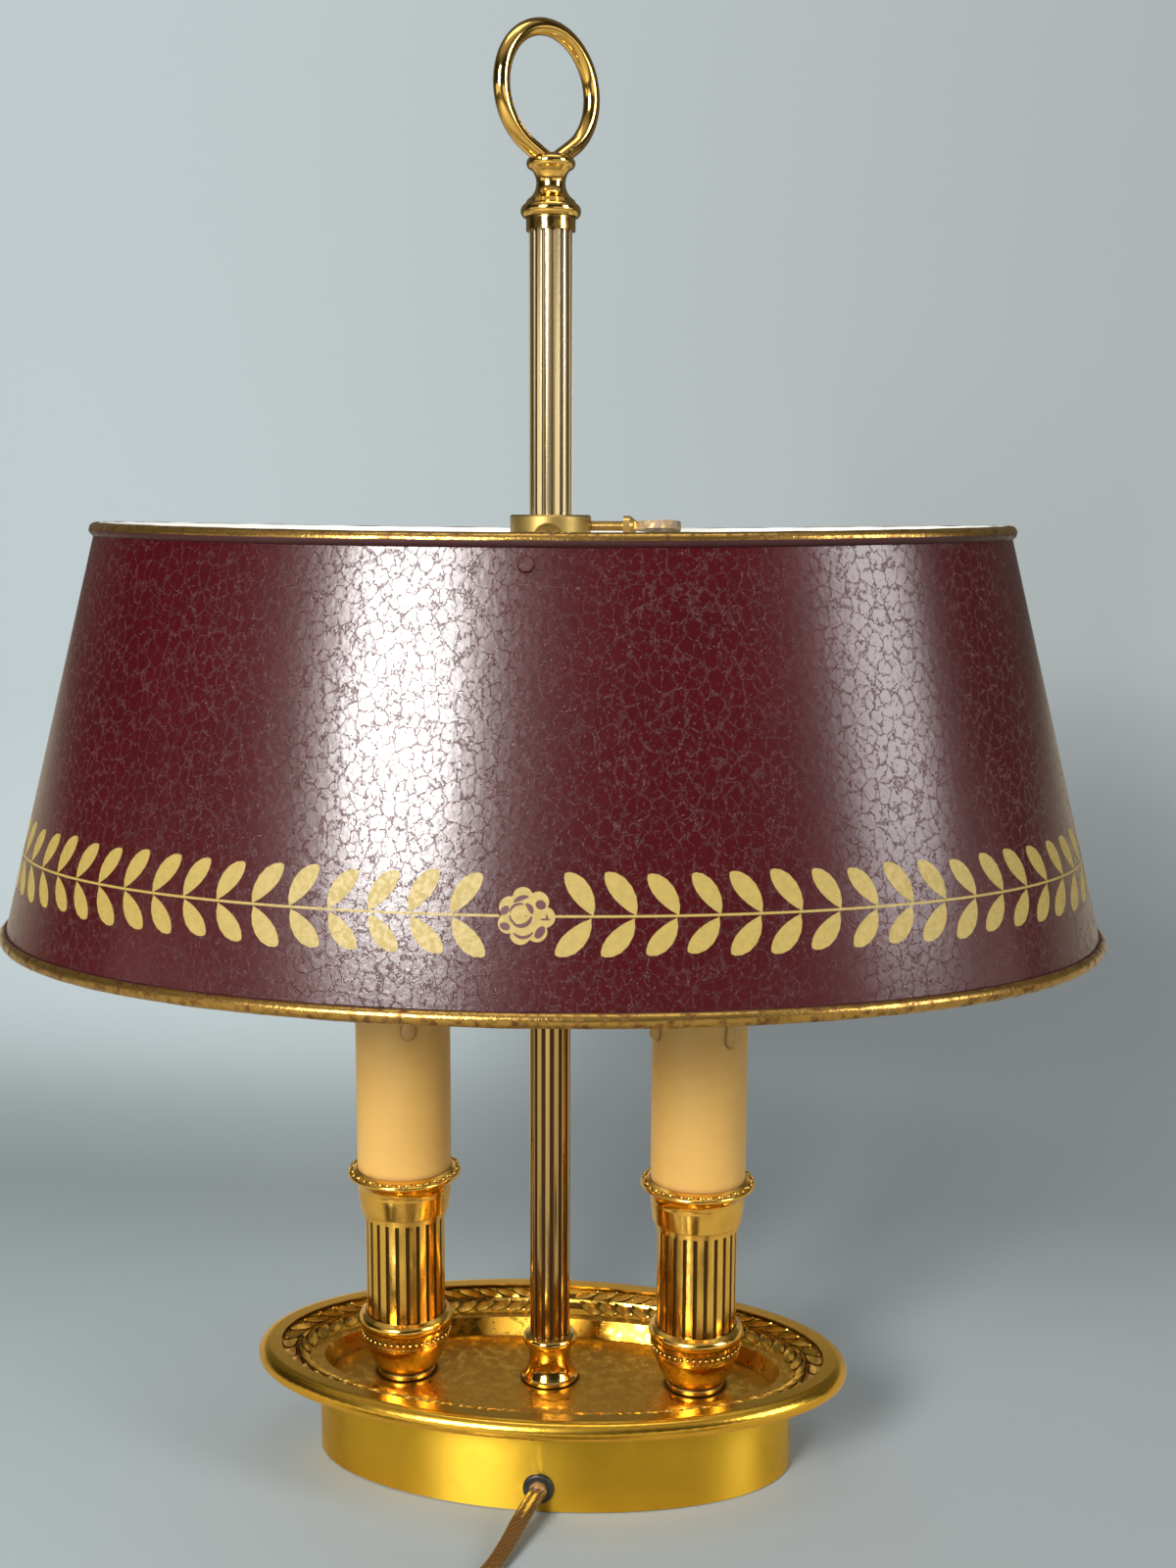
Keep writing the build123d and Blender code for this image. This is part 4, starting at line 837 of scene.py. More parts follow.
# inside the base
STEEL = Finish(
    "zinc_steel", "steel", (0.55, 0.55, 0.56), (0.42, 0.42, 0.45), metallic=1.0, rough=(0.3, 0.42),
    patch=0.004, patch_share=0.5, grain=Grain.CAST, grain_size=0.0005, grain_depth=0.00002)
IRON = Finish(
    "cast_iron", "iron", (0.07, 0.07, 0.07), (0.12, 0.06, 0.04), metallic=0.6, rough=(0.6, 0.8),
    patch=0.006, patch_level=0.6, patch_share=0.5, grain=Grain.CAST, grain_size=0.0012, grain_depth=0.0002)
FELT = Finish(
    "green_felt", "felt", (0.035, 0.11, 0.05), (0.05, 0.15, 0.075), rough=(0.9, 1.0), patch=0.0015,
    patch_share=0.6, grain_size=0.0004, grain_depth=0.00035)
RUBBER = Finish(
    "black_rubber", "rubber_black", (0.012, 0.012, 0.012), (0.03, 0.03, 0.03), rough=(0.35, 0.5),
    patch=0.003, patch_level=0.55, patch_share=0.5, grain_size=0.0006, grain_depth=0.00003)
# cord, switch and plug
CORD = TwinCordPlastic(
    "twin_cord", "cord_gold", (0.115, 0.062, 0.022), (0.060, 0.030, 0.012), metallic=0.3,
    rough=(0.12, 0.20), coat=0.8, patch=0.02, patch_share=0.3, patch_edge=0.2, grain_depth=0.00003)
INNER_CORD = Finish(
    "inner_cord", "cord_gold", (0.40, 0.225, 0.075), (0.27, 0.14, 0.05), metallic=0.15, rough=(0.2, 0.3))
FITTING = Finish(
    "brown_moulding", "cord_fitting", (0.10, 0.048, 0.018), (0.075, 0.035, 0.014), rough=(0.2, 0.3),
    patch=0.01, patch_share=0.5, grain_size=0.0006, coat=0.3)
ROCKER = Finish(
    "rocker_moulding", "rocker_plastic", (0.05, 0.024, 0.01), (0.035, 0.017, 0.008), rough=(0.18, 0.26),
    coat=0.3)
NYLON = Finish("natural_nylon", "nylon", (0.74, 0.71, 0.62), (0.66, 0.62, 0.52), rough=(0.45, 0.55))
PORCELAIN = Finish(
    "white_porcelain", "porcelain_white", (0.80, 0.79, 0.74), (0.7, 0.68, 0.62), rough=(0.15, 0.25),
    coat=0.4)
WIRE = Finish("wire_sleeve", "wire_sleeve", (0.40, 0.24, 0.09), (0.3, 0.17, 0.06), rough=(0.25, 0.35))
TIE = Finish("tie_coating", "tie_black", (0.02, 0.02, 0.02), (0.04, 0.04, 0.04))
# painted light: the paper's second tone, on the right, is darker than the first
PAPER = BackdropPaper("backdrop_paper", "", (0.385, 0.437, 0.452), (0.325, 0.349, 0.353), rough=(0.75, 0.8))

NODE_FINISHES: dict[str, Finish] = {
    "tray": TRAY_GILT, "skirt": SHEET_BRASS, "felt_pad": FELT, "bottom_plate": STEEL,
    "plate_screws": STEEL, "ballast": IRON, "spacer_tube": STEEL, "tie_rod": STEEL, "tie_rod_nut": STEEL,
    "tie_rod_washer": STEEL, "column_foot": TURNED_BRASS, "column": COLUMN_BRASS,
    "finial_vase": TURNED_BRASS, "finial_ring": TURNED_BRASS, "cord_grommet": RUBBER,
    "cord_clamp": BLACK_MOULDING, "terminal_block": PORCELAIN, "inner_lead": INNER_CORD,
    "holder_nuts": STEEL, "holder_nipples": STEEL, "socket_contacts": SHELL_BRASS, "cord_lead": CORD,
    "cord_run": CORD, "cord_tail": CORD, "cord_coil": CORD, "coil_tie": TIE, "switch_base": FITTING,
    "switch_cover": FITTING, "switch_rocker": ROCKER, "plug_body": FITTING, "plug_pins": SHELL_BRASS,
    "shade_shell": LACQUER, "shade_top_bead": WORN_BEAD, "shade_bottom_bead": WORN_BEAD,
    "shade_collar": COLLAR_BRASS, "front_arm": TURNED_BRASS, "back_arm": TURNED_BRASS,
    "shade_rivets": LACQUER, "collar_liner": NYLON, "thumbscrew": SCREW_PLATE, "screw_tip_pad": NYLON,
}
SIDE_FINISHES: dict[str, Finish] = {
    "holder_bowl": CAST_GILT, "holder_shaft": CAST_GILT, "holder_cup": CAST_GILT,
    "candle_sleeve": CANDLE_IVORY, "socket": BLACK_MOULDING, "socket_shell": SHELL_BRASS,
    "bulb_cap": CAP_METAL, "bulb_glass": BULB_GLASS, "wires": WIRE,
}


# ---------- shaping helpers
def linked(name: str, data: bpy.types.ID) -> bpy.types.Object:
    """Makes an object that the scene shows.

    Args:
        name: the object's name.
        data: its mesh, curve, light or camera.

    Returns:
        The object.
    """
    made = bpy.data.objects.new(name, data)
    bpy.context.scene.collection.objects.link(made)
    return made


def smooth_mesh(name: str, bm: BMesh) -> bpy.types.Mesh:
    """Turns a bmesh into a smoothly shaded mesh.

    Args:
        name: the mesh's name.
        bm: its shape; freed here.

    Returns:
        The mesh.
    """
    mesh = bpy.data.meshes.new(name)
    bm.to_mesh(mesh)
    bm.free()
    mesh.shade_smooth()
    return mesh


def finished(name: str, bm: BMesh, finishes: Sequence[Finish], body: Body, stands_for: Sequence[str] = (),
             sharp: float = 40.0) -> bpy.types.Object:
    """Turns a bmesh into a piece that rides on a body.

    Args:
        name: the piece's name.
        bm: its shape, in place; freed here.
        finishes: its finishes, in the order of the faces' material numbers.
        body: the body it rides on.
        stands_for: the CAD nodes it is shown instead of.
        sharp: edges steeper than this, in degrees, stay sharp.

    Returns:
        The piece's object.
    """
    bmesh.ops.remove_doubles(bm, verts=bm.verts, dist=MERGED_WITHIN)
    bmesh.ops.recalc_face_normals(bm, faces=bm.faces)
    mesh = smooth_mesh(name, bm)
    mesh.set_sharp_from_angle(angle=math.radians(sharp))
    for finish in finishes:
        mesh.materials.append(finish.material())
    piece = linked(name, mesh)
    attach(piece, body.value)
    if stands_for:
        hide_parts(*stands_for)
    log.info("%s: %d faces on %s", name, len(mesh.polygons), body.value)
    return piece


def unit_tube(bm: BMesh, sides: int, rings: int, joined: bool = False) -> list[BMVert]:
    """Adds a tube of radius 1 whose rings stand one unit apart, for its vertices to be put in place.

    Args:
        bm: the bmesh to add to.
        sides: vertices in each ring.
        rings: number of rings.
        joined: True if the last ring is bridged to the first.

    Returns:
        The new vertices.
    """
    made = bmesh.ops.create_circle(bm, segments=sides, radius=1.0)["verts"]
    first = list({edge for vert in made for edge in vert.link_edges})
    ring = first
    every = list(made)
    for _ in range(rings - 1):
        grown = bmesh.ops.extrude_edge_only(bm, edges=ring)["geom"]
        verts = [item for item in grown if isinstance(item, BMVert)]
        ring = [item for item in grown if isinstance(item, bmesh.types.BMEdge) and
                item.verts[0] in verts and item.verts[1] in verts]
        bmesh.ops.translate(bm, verts=verts, vec=UP)
        every += verts
    if joined:
        bmesh.ops.bridge_loops(bm, edges=first + ring)
    return every


def put(verts: Sequence[BMVert], place: Callable[[float, int], Vector]) -> None:
    """Moves a unit tube's vertices to where place says for their angle and ring."""
    for vert in verts:
        vert.co = place(math.atan2(vert.co.y, vert.co.x), round(vert.co.z))


def round_way(first: Vector, second: Vector, radius: float, angle: float) -> Vector:
    """Returns the way from a wire's middle to its skin, at an angle from first towards second."""
    return first * (radius * math.cos(angle)) + second * (radius * math.sin(angle))


def close_ends(bm: BMesh) -> None:
    """Fills every open end."""
    bmesh.ops.holes_fill(bm, edges=[edge for edge in bm.edges if edge.is_boundary], sides=0)


def unit_patch(bm: BMesh, along: int, across: int) -> list[BMVert]:
    """Adds a grid that runs from 0 to 1 in X and from -1 to 1 in Y.

    Args:
        bm: the bmesh to add to.
        along: faces along X.
        across: faces along Y.

    Returns:
        The new vertices.
    """
    made = bmesh.ops.create_grid(bm, x_segments=along, y_segments=across, size=1.0)["verts"]
    for vert in made:
        vert.co.x = (vert.co.x + 1.0) / 2.0
    return made


def skirted(bm: BMesh, verts: Sequence[BMVert], sink: Callable[[Vector], Vector]) -> None:
    """Gives a patch a low wall round its rim.

    Args:
        bm: the bmesh that holds the patch.
        verts: the patch's vertices.
        sink: returns where a rim vertex goes at the wall's foot.
    """
    own = set(verts)
    edges = {edge for vert in verts for edge in vert.link_edges}
    rim = [edge for edge in edges if edge.is_boundary and set(edge.verts) <= own]
    for item in bmesh.ops.extrude_edge_only(bm, edges=rim)["geom"]:
        if isinstance(item, BMVert):
            item.co = sink(item.co)


@dataclass(frozen=True)
class Leaf:
    """One leaf of a band, drawn flat: along is its length, across its width.

    Attributes:
        length: from its foot to its tip, in metres.
        width: at its widest, in metres.
        bend: how far its middle line turns, in degrees.
        ridge: how far it stands up beside its vein, in metres.
        edge: how far its edge stands up, in metres.
        vein: depth of the vein, in metres; below 0 for a keel.
        steps: grid faces along and across.
        root: depth of the wall under its rim, in metres.
    """

    length: float
    width: float
    bend: float
    ridge: float
    edge: float
    vein: float
    steps: tuple[int, int]
    root: float = 0.1 * MM

    def half_width(self, run: float) -> float:
        """Returns half the width at a share of the length: narrow at the foot, fullest past the middle."""
        full = (run * max(0.0, 1.0 - run * run)) ** 0.75 / 0.49
        return 0.5 * self.width * (0.05 + full) * min(1.0, 0.35 + 4.0 * run)

    def crown(self, run: float) -> float:
        """Returns how much of the ridge stands at a share of the length."""
        return math.sin(math.pi * min(1.0, run + 0.08)) ** 0.6 if run < 0.92 else 0.5

    def grow(self, bm: BMesh, foot: Span, angle: float, place: OnBand, scale: float = 1.0) -> None:
        """Adds the leaf to a band.

        Args:
            bm: the bmesh to add to.
            foot: where its foot is, along and across the band.
            angle: its direction at the foot, in radians from the band's own direction.
            place: turns along, across and lift into a point.
            scale: size against the leaf's own.
        """
        verts = unit_patch(bm, *self.steps)
        turn = math.copysign(math.radians(self.bend), math.sin(angle) * math.cos(angle))
        drawn: dict[tuple[float, ...], Span] = {}
        for vert in verts:
            run = 0.5 - 0.5 * math.cos(math.pi * vert.co.x)
            side = vert.co.y
            at_tip = vert.co.x > 0.999
            reach = self.length * scale * run
            across = 0.0 if at_tip else self.half_width(run) * scale * side
            heading = angle - turn * run / 2.0
            facing = heading - turn * run / 2.0
            x = foot[0] + reach * math.cos(heading) - across * math.sin(facing)
            y = foot[1] + reach * math.sin(heading) + across * math.cos(facing)
            lift = self.edge + (self.ridge - self.edge) * (1.0 - side * side) * self.crown(run)
            if abs(side) < 0.01:
                lift -= self.vein * self.crown(run)
            vert.co = place(x, y, lift)
            drawn[tuple(vert.co)] = (x, y)

        def sink(point: Vector) -> Vector:
            """Returns the point under a rim vertex."""
            return place(*drawn[tuple(point)], -self.root)

        skirted(bm, verts, sink)


@dataclass
class OvalRuler:
    """Turns a length measured along an oval into the oval's angle.

    Attributes:
        half_x: half its length.
        half_y: half its width.
        start: the angle that length 0 stands for, in radians.
        steps: number of equal steps of the angle at which it is measured.
        lengths: the running length at those steps.
    """

    half_x: float
    half_y: float
    start: float
    steps: int = 720
    lengths: list[float] = field(default_factory=lambda: [0.0])

    def __post_init__(self) -> None:
        """Measures the oval once."""
        for step in range(self.steps):
            middle = FULL_TURN * (step + 0.5) / self.steps
            speed = math.hypot(self.half_x * math.sin(middle), self.half_y * math.cos(middle))
            self.lengths.append(self.lengths[-1] + speed * FULL_TURN / self.steps)

    @property
    def total(self) -> float:
        """Length once round."""
        return self.lengths[-1]

    def at(self, length: float) -> float:
        """Finds the angle at a length.

        Args:
            length: measured from the start, negative the other way round.

        Returns:
            The oval's angle, in radians.
        """
        offset = self.start % FULL_TURN / FULL_TURN * self.steps
        low = int(offset)
        base = self.lengths[low] + (self.lengths[low + 1] - self.lengths[low]) * (offset - low)
        wanted = (base + length) % self.total
        first = min(bisect_right(self.lengths, wanted), self.steps) - 1
        span = self.lengths[first + 1] - self.lengths[first]
        return FULL_TURN * (first + (wanted - self.lengths[first]) / span) / self.steps


# ---------- shade
@dataclass
class Shade:
    """Oval lacquered shade with gilt beads and a printed laurel band.

    Attributes:
        turn: how far it sits turned on the column, in degrees.
        top: half length and half width of the top bead's centre line.
        bottom: the same for the bottom bead.
        top_height: height of the top bead's centre line.
        bottom_height: height of the bottom bead's centre line.
        wall: thickness of the sheet.
        bead: radius of the beads.
        swell: how unevenly the beads are rolled, as a share of that radius.
        top_saddle: how far the top edge rises at its ends and falls at its sides.
        bottom_saddle: the same for the bottom edge, where the ends fall.
        band_share: where the laurel's stem runs, from 0 at the bottom bead to 1 at the top bead.
        rosette_angle: where the rosette sits round the oval, in degrees.
        leaf: one leaf of the laurel.
        leaf_pairs: number of pairs on each branch.
        leaf_step: distance between the pairs.
        first_pairs: distance from the rosette to the first pair of the left and of the right branch.
        leaf_angles: how far the upper and the lower leaves stand off the stem, in degrees.
        stem_start: distance from the rosette's middle to the stem.
        stem_half: half the stem's width.
        print_lift: how far the stem, the petals and the openings stand off the sheet.
    """

    turn: float = SHADE_TURN
    top: Span = (136.4 * MM, 86.2 * MM)
    bottom: Span = (167.0 * MM, 116.3 * MM)
    top_height: float = 296.0 * MM
    bottom_height: float = 176.8 * MM
    wall: float = 0.8 * MM
    bead: float = 2.1 * MM
    swell: float = 0.035
    top_saddle: float = 0.9 * MM
    bottom_saddle: float = -1.25 * MM
    band_share: float = 0.213
    rosette_angle: float = -89.4
    leaf: Leaf = Leaf(length=13.7 * MM, width=5.5 * MM, bend=28.0, ridge=0.07 * MM, edge=0.07 * MM,
                      vein=0.0, steps=(8, 2))
    leaf_pairs: int = 39
    leaf_step: float = 10.7 * MM
    first_pairs: Span = (18.8 * MM, 16.7 * MM)
    leaf_angles: Span = (69.0, 61.0)
    stem_start: float = 6.6 * MM
    stem_half: float = 0.32 * MM
    print_lift: tuple[float, float, float] = (0.05 * MM, 0.075 * MM, 0.11 * MM)

    def on_sheet(self, angle: float, share: float, out: float = 0.0) -> Vector:
        """Returns a point on the sheet.

        Args:
            angle: round the oval, in radians.
            share: from 0 at the bottom bead to 1 at the top bead.
            out: distance outwards from the middle of the sheet.

        Returns:
            The point, in the lamp's frame.
        """
        half_x = self.bottom[0] + (self.top[0] - self.bottom[0]) * share + out
        half_y = self.bottom[1] + (self.top[1] - self.bottom[1]) * share + out
        low = self.bottom_height + self.bottom_saddle * math.cos(2.0 * angle)
        high = self.top_height + self.top_saddle * math.cos(2.0 * angle)
        point = Vector((half_x * math.cos(angle), half_y * math.sin(angle), low + (high - low) * share))
        return Matrix.Rotation(math.radians(self.turn), 3, "Z") @ point

    def build_wall(self) -> None:
        """Makes the sheet: lacquered outside, white inside."""
        bm = bmesh.new()
        sides, rows = 288, 10
        half = self.wall / 2.0

        def place(angle: float, ring: int) -> Vector:
            """Returns a point of the outside on the way up, and of the inside on the way down."""
            if ring <= rows:
                return self.on_sheet(angle, ring / rows, half)
            return self.on_sheet(angle, (2 * rows + 1 - ring) / rows, -half)

        verts = unit_tube(bm, sides, 2 * rows + 2, joined=True)
        for face in bm.faces:
            face.material_index = 1 if face.calc_center_median().z > rows + 1 else 0
        put(verts, place)
        finished("shade_wall", bm, (LACQUER, SHADE_WHITE), Body.SHADE, ("shade_shell",))

    def build_bead(self, name: str, share: float, stands_for: str, coats: dict[int, Sequence[int]]) -> None:
        """Makes one rolled bead over an edge of the sheet.

        Args:
            name: the piece's name.
            share: 0 for the bottom edge and 1 for the top edge.
            stands_for: the CAD node it is shown instead of.
            coats: for each finish but the first, the strips of the roll that have it; strip 0 is level,
                outwards.
        """
        bm = bmesh.new()
        around, sides = 320, 20

        def place(angle: float, ring: int) -> Vector:
            """Returns a point of the unevenly rolled bead."""
            uneven = 1.0 + self.swell * math.sin(37.0 * angle + 3.0 * ring) * math.sin(11.0 * angle)
            centre = self.on_sheet(angle, share)
            outwards = (self.on_sheet(angle, share, 1.0 * MM) - centre).normalized()
            return centre + round_way(outwards, UP, self.bead * uneven, FULL_TURN * ring / sides)

        verts = unit_tube(bm, around, sides, joined=True)
        for face in bm.faces:
            rings = [round(vert.co.z) for vert in face.verts]
            strip = sides - 1 if max(rings) - min(rings) > 1 else min(rings)
            face.material_index = next((coat for coat, strips in coats.items() if strip in strips), 0)
        put(verts, place)
        finished(name, bm, (WORN_BEAD, BEAD_SHADOW, SHADE_WHITE), Body.SHADE, (stands_for,), sharp=80.0)

    def build_band(self) -> None:
        """Makes the printed stem, the leaves and the rosette."""
        half_x = self.bottom[0] + (self.top[0] - self.bottom[0]) * self.band_share
        half_y = self.bottom[1] + (self.top[1] - self.bottom[1]) * self.band_share
        ruler = OvalRuler(half_x, half_y, math.radians(self.rosette_angle))
        front = -math.pi / 2.0
        slope = (self.on_sheet(front, 1.0) - self.on_sheet(front, 0.0)).length

        def place(along: float, across: float, lift: float) -> Vector:
            """Returns a point on the sheet's outside, from lengths along and across the band."""
            share = self.band_share + across / slope
            return self.on_sheet(ruler.at(along), share, self.wall / 2.0 + lift)

        bm = bmesh.new()
        for side, first in zip((-1, 1), self.first_pairs):
            for pair in range(self.leaf_pairs):
                self.add_pair(bm, place, side, first, pair)
            run = ruler.total / 2.0 - self.stem_start
            for vert in unit_patch(bm, 150, 1):
                along = side * (self.stem_start + run * vert.co.x)
                vert.co = place(along, self.stem_half * vert.co.y, self.print_lift[0])
        finished("laurel_band", bm, (LAUREL_PRINT,), Body.SHADE)
        self.build_petals(place)
        self.build_openings(place)

    def add_pair(self, bm: BMesh, place: OnBand, side: int, first: float, pair: int) -> None:
        """Adds one pair of leaves, a little different from the others, to a branch.

        Args:
            bm: the bmesh to add to.
            place: turns along, across and lift on the band into a point.
            side: -1 for the left branch and 1 for the right one.
            first: distance from the rosette to the branch's first pair.
            pair: the pair's number on its branch.
        """
        along = side * (first + self.leaf_step * pair)
        sway = 2.0 * math.sin(2.3 * pair + side)
        upper = math.radians(self.leaf_angles[0] + sway)
        lower = -math.radians(self.leaf_angles[1] - sway)
        if side > 0:
            upper, lower = math.pi - upper, -math.pi - lower
        earlier = along - side * 0.5 * MM
        self.leaf.grow(bm, (along, 0.1 * MM), upper, place, 0.93 + 0.03 * math.sin(1.7 * pair))
        self.leaf.grow(bm, (earlier, -0.5 * MM), lower, place, 0.9 + 0.03 * math.cos(1.3 * pair))

    def build_petals(self, place: OnBand) -> None:
        """Makes the seven lobes of the rosette.

        Args:
            place: turns along, across and lift on the band into a point.
        """
        bm = bmesh.new()
        notch, lobe, lobes = 5.6 * MM, 1.7 * MM, 7
        shares = (1.0, 1.0, 0.66, 0.33, 0.02)

        def petals(angle: float, ring: int) -> Vector:
            """Returns a point of the lobed disc, whose first ring is sunk into the sheet."""
            edge = notch + lobe * abs(math.cos(0.5 * lobes * (angle + 0.05))) ** 0.6
            radius = edge * shares[ring]
            lift = -0.1 * MM if ring == 0 else self.print_lift[1]
            return place(radius * math.cos(angle), radius * math.sin(angle), lift)

        put(unit_tube(bm, 96, len(shares)), petals)
        finished("rosette_petals", bm, (LAUREL_PRINT,), Body.SHADE)

    def build_openings(self, place: OnBand) -> None:
        """Makes the openings of the rosette, through which the lacquer shows.

        Args:
            place: turns along, across and lift on the band into a point.
        """
        bm = bmesh.new()
        lift = self.print_lift[2]
        # start and end in degrees, radius, thickness, centre along and across, all lengths in mm
        arcs = (
            (2, 62, 2.95, 1.35, -1.45, 0.45), (70, 172, 2.6, 0.7, -1.45, 0.45),
            (185, 245, 2.6, 0.6, -1.45, 0.45), (236, 350, 2.9, 1.1, -1.45, 0.45),
            (90, 132, 5.3, 1.25, 0.5, -0.5), (218, 328, 2.9, 0.85, -0.7, -2.4),
        )
        for start, end, radius, thick, x, y in arcs:
            for vert in unit_patch(bm, 12, 1):
                angle = math.radians(start + (end - start) * vert.co.x)
                taper = math.sin(math.pi * min(max(vert.co.x, 0.06), 0.94)) ** 0.5
                out = radius + 0.5 * thick * taper * vert.co.y
                vert.co = place((x + out * math.cos(angle)) * MM, (y + out * math.sin(angle)) * MM, lift)
        # centre along and across, half length and half width in mm, turn in degrees
        ovals = (
            (-5.3, 1.4, 1.3, 0.95, 50), (3.65, 2.85, 1.35, 1.15, -25), (-5.15, -2.6, 1.35, 0.95, -20),
            (3.5, -4.0, 1.75, 1.05, 55), (4.8, -0.75, 1.25, 0.25, 0), (5.2, -0.1, 0.25, 0.6, 10),
        )
        for x, y, long, wide, turn in ovals:
            tilt = math.radians(turn)
            for vert in bmesh.ops.create_circle(bm, segments=20, radius=1.0, cap_ends=True)["verts"]:
                u, v = vert.co.x * long, vert.co.y * wide
                vert.co = place((x + u * math.cos(tilt) - v * math.sin(tilt)) * MM,
                                (y + u * math.sin(tilt) + v * math.cos(tilt)) * MM, lift)
        finished("rosette_openings", bm, (PRINT_GROUND,), Body.SHADE)

    def build(self) -> None:
        """Builds the whole shade."""
        self.build_wall()
        self.build_bead("top_bead", 1.0, "shade_top_bead", {1: range(15, 20), 2: range(6, 15)})
        self.build_bead("bottom_bead", 0.0, "shade_bottom_bead", {1: range(4, 7), 2: range(7, 14)})
        self.build_band()


# ---------- dish
@dataclass
class Dish:
    """Leaf band of the oval dish.

    Attributes:
        half_x: half the dish's length.
        half_y: half its width.
        band: inset of the band's outer and inner edge.
        heights: height of the band's ground at those edges.
        leaf: one cast leaf.
        leaf_angle: how far the leaves stand off the stem, in degrees.
        pair_step: distance between leaf pairs.
        first_pair: distance from the back's middle to the first pair.
        bare: length that stays free of leaves at the front's middle.
        stem: half width, height in the middle and height at the edge of the stem.
    """

    half_x: float = 95.3 * MM
    half_y: float = 52.1 * MM
    band: Span = (7.4 * MM, 17.4 * MM)
    heights: Span = (34.8 * MM, 30.4 * MM)
    leaf: Leaf = Leaf(length=9.2 * MM, width=3.1 * MM, bend=18.0, ridge=0.85 * MM, edge=0.35 * MM,
                      vein=-0.4 * MM, steps=(8, 4))
    leaf_angle: float = 37.0
    pair_step: float = 6.0 * MM
    first_pair: float = 3.0 * MM
    bare: float = 8.0 * MM
    stem: tuple[float, float, float] = (0.5 * MM, 0.75 * MM, 0.1 * MM)

    @property
    def slope(self) -> float:
        """Width of the band along its slope."""
        return math.hypot(self.band[1] - self.band[0], self.heights[0] - self.heights[1])

    def build(self) -> None:
        """Makes the leaves and the ground between them, each from the back round both ends to the front."""
        middle = sum(self.band) / 2.0
        ruler = OvalRuler(self.half_x - middle, self.half_y - middle, math.pi / 2.0)

        def place(along: float, across: float, lift: float) -> Vector:
            """Returns a point over the band, from lengths along and across it."""
            angle = ruler.at(along)
            share = 0.5 - across / self.slope
            inset = self.band[0] + (self.band[1] - self.band[0]) * share
            height = self.heights[0] + (self.heights[1] - self.heights[0]) * share + lift
            return Vector(((self.half_x - inset) * math.cos(angle), (self.half_y - inset) * math.sin(angle),
                           height))

        self.build_leaves(place, ruler.total / 2.0)
        self.build_ground(place, ruler.total)

    def build_leaves(self, place: OnBand, reach: float) -> None:
        """Makes the two branches of cast leaves and their stems.

        Args:
            place: turns along, across and lift on the band into a point.
            reach: length of a branch.
        """
        bm = bmesh.new()
        turn = math.radians(self.leaf_angle)
        half_stem, crest, foot = self.stem
        for side in (-1, 1):
            upper, lower = (turn, -turn) if side > 0 else (math.pi - turn, math.pi + turn)
            for pair in range(int((reach - self.bare) / self.pair_step)):
                along = side * (self.first_pair + self.pair_step * pair)
                later = along + side * 2.8 * MM
                self.leaf.grow(bm, (along, 0.3 * MM), upper, place, 1.0 + 0.05 * math.sin(1.9 * pair))
                self.leaf.grow(bm, (later, -0.3 * MM), lower, place, 1.0 + 0.05 * math.cos(1.4 * pair))
            for vert in unit_patch(bm, 110, 2):
                lift = crest if abs(vert.co.y) < 0.1 else foot
                vert.co = place(side * (reach - 2.0 * MM) * vert.co.x, half_stem * vert.co.y, lift)
        finished("dish_leaf_band", bm, (LEAF_GILT,), Body.BASE, sharp=30.0)

    def build_ground(self, place: OnBand, total: float) -> None:
        """Makes the dark ground between the leaves: patina and painted shade.

        Args:
            place: turns along, across and lift on the band into a point.
            total: length of the band, once round.
        """
        bm = bmesh.new()
        rings = 5

        def ground(angle: float, ring: int) -> Vector:
            """Returns a point of the ground, whose first and last ring are sunk into the dish."""
            across = 0.46 * self.slope * (1.0 - ring / 2.0)
            lift = 0.04 * MM if 0 < ring < rings - 1 else -0.08 * MM
            return place(total * angle / FULL_TURN, across, lift)

        put(unit_tube(bm, 240, rings), ground)
        finished("dish_band_ground", bm, (BAND_PATINA_AND_SHADE,), Body.BASE)


# ---------- candle holders
# Runs of wax on each candle: where each stands round it, in degrees, and how far down it reaches, in mm.
WAX_RUNS: dict[str, tuple[Span, ...]] = {
    "left": ((-168.0, 45.0), (-118.0, 30.0), (-72.0, 46.8), (-30.0, 36.0), (20.0, 24.0), (75.0, 41.0),
             (125.0, 33.0)),
    "right": ((-150.0, 46.3), (-100.0, 28.0), (-48.0, 46.9), (0.0, 35.0), (45.0, 43.0), (95.0, 25.0),
              (152.0, 38.0)),
}


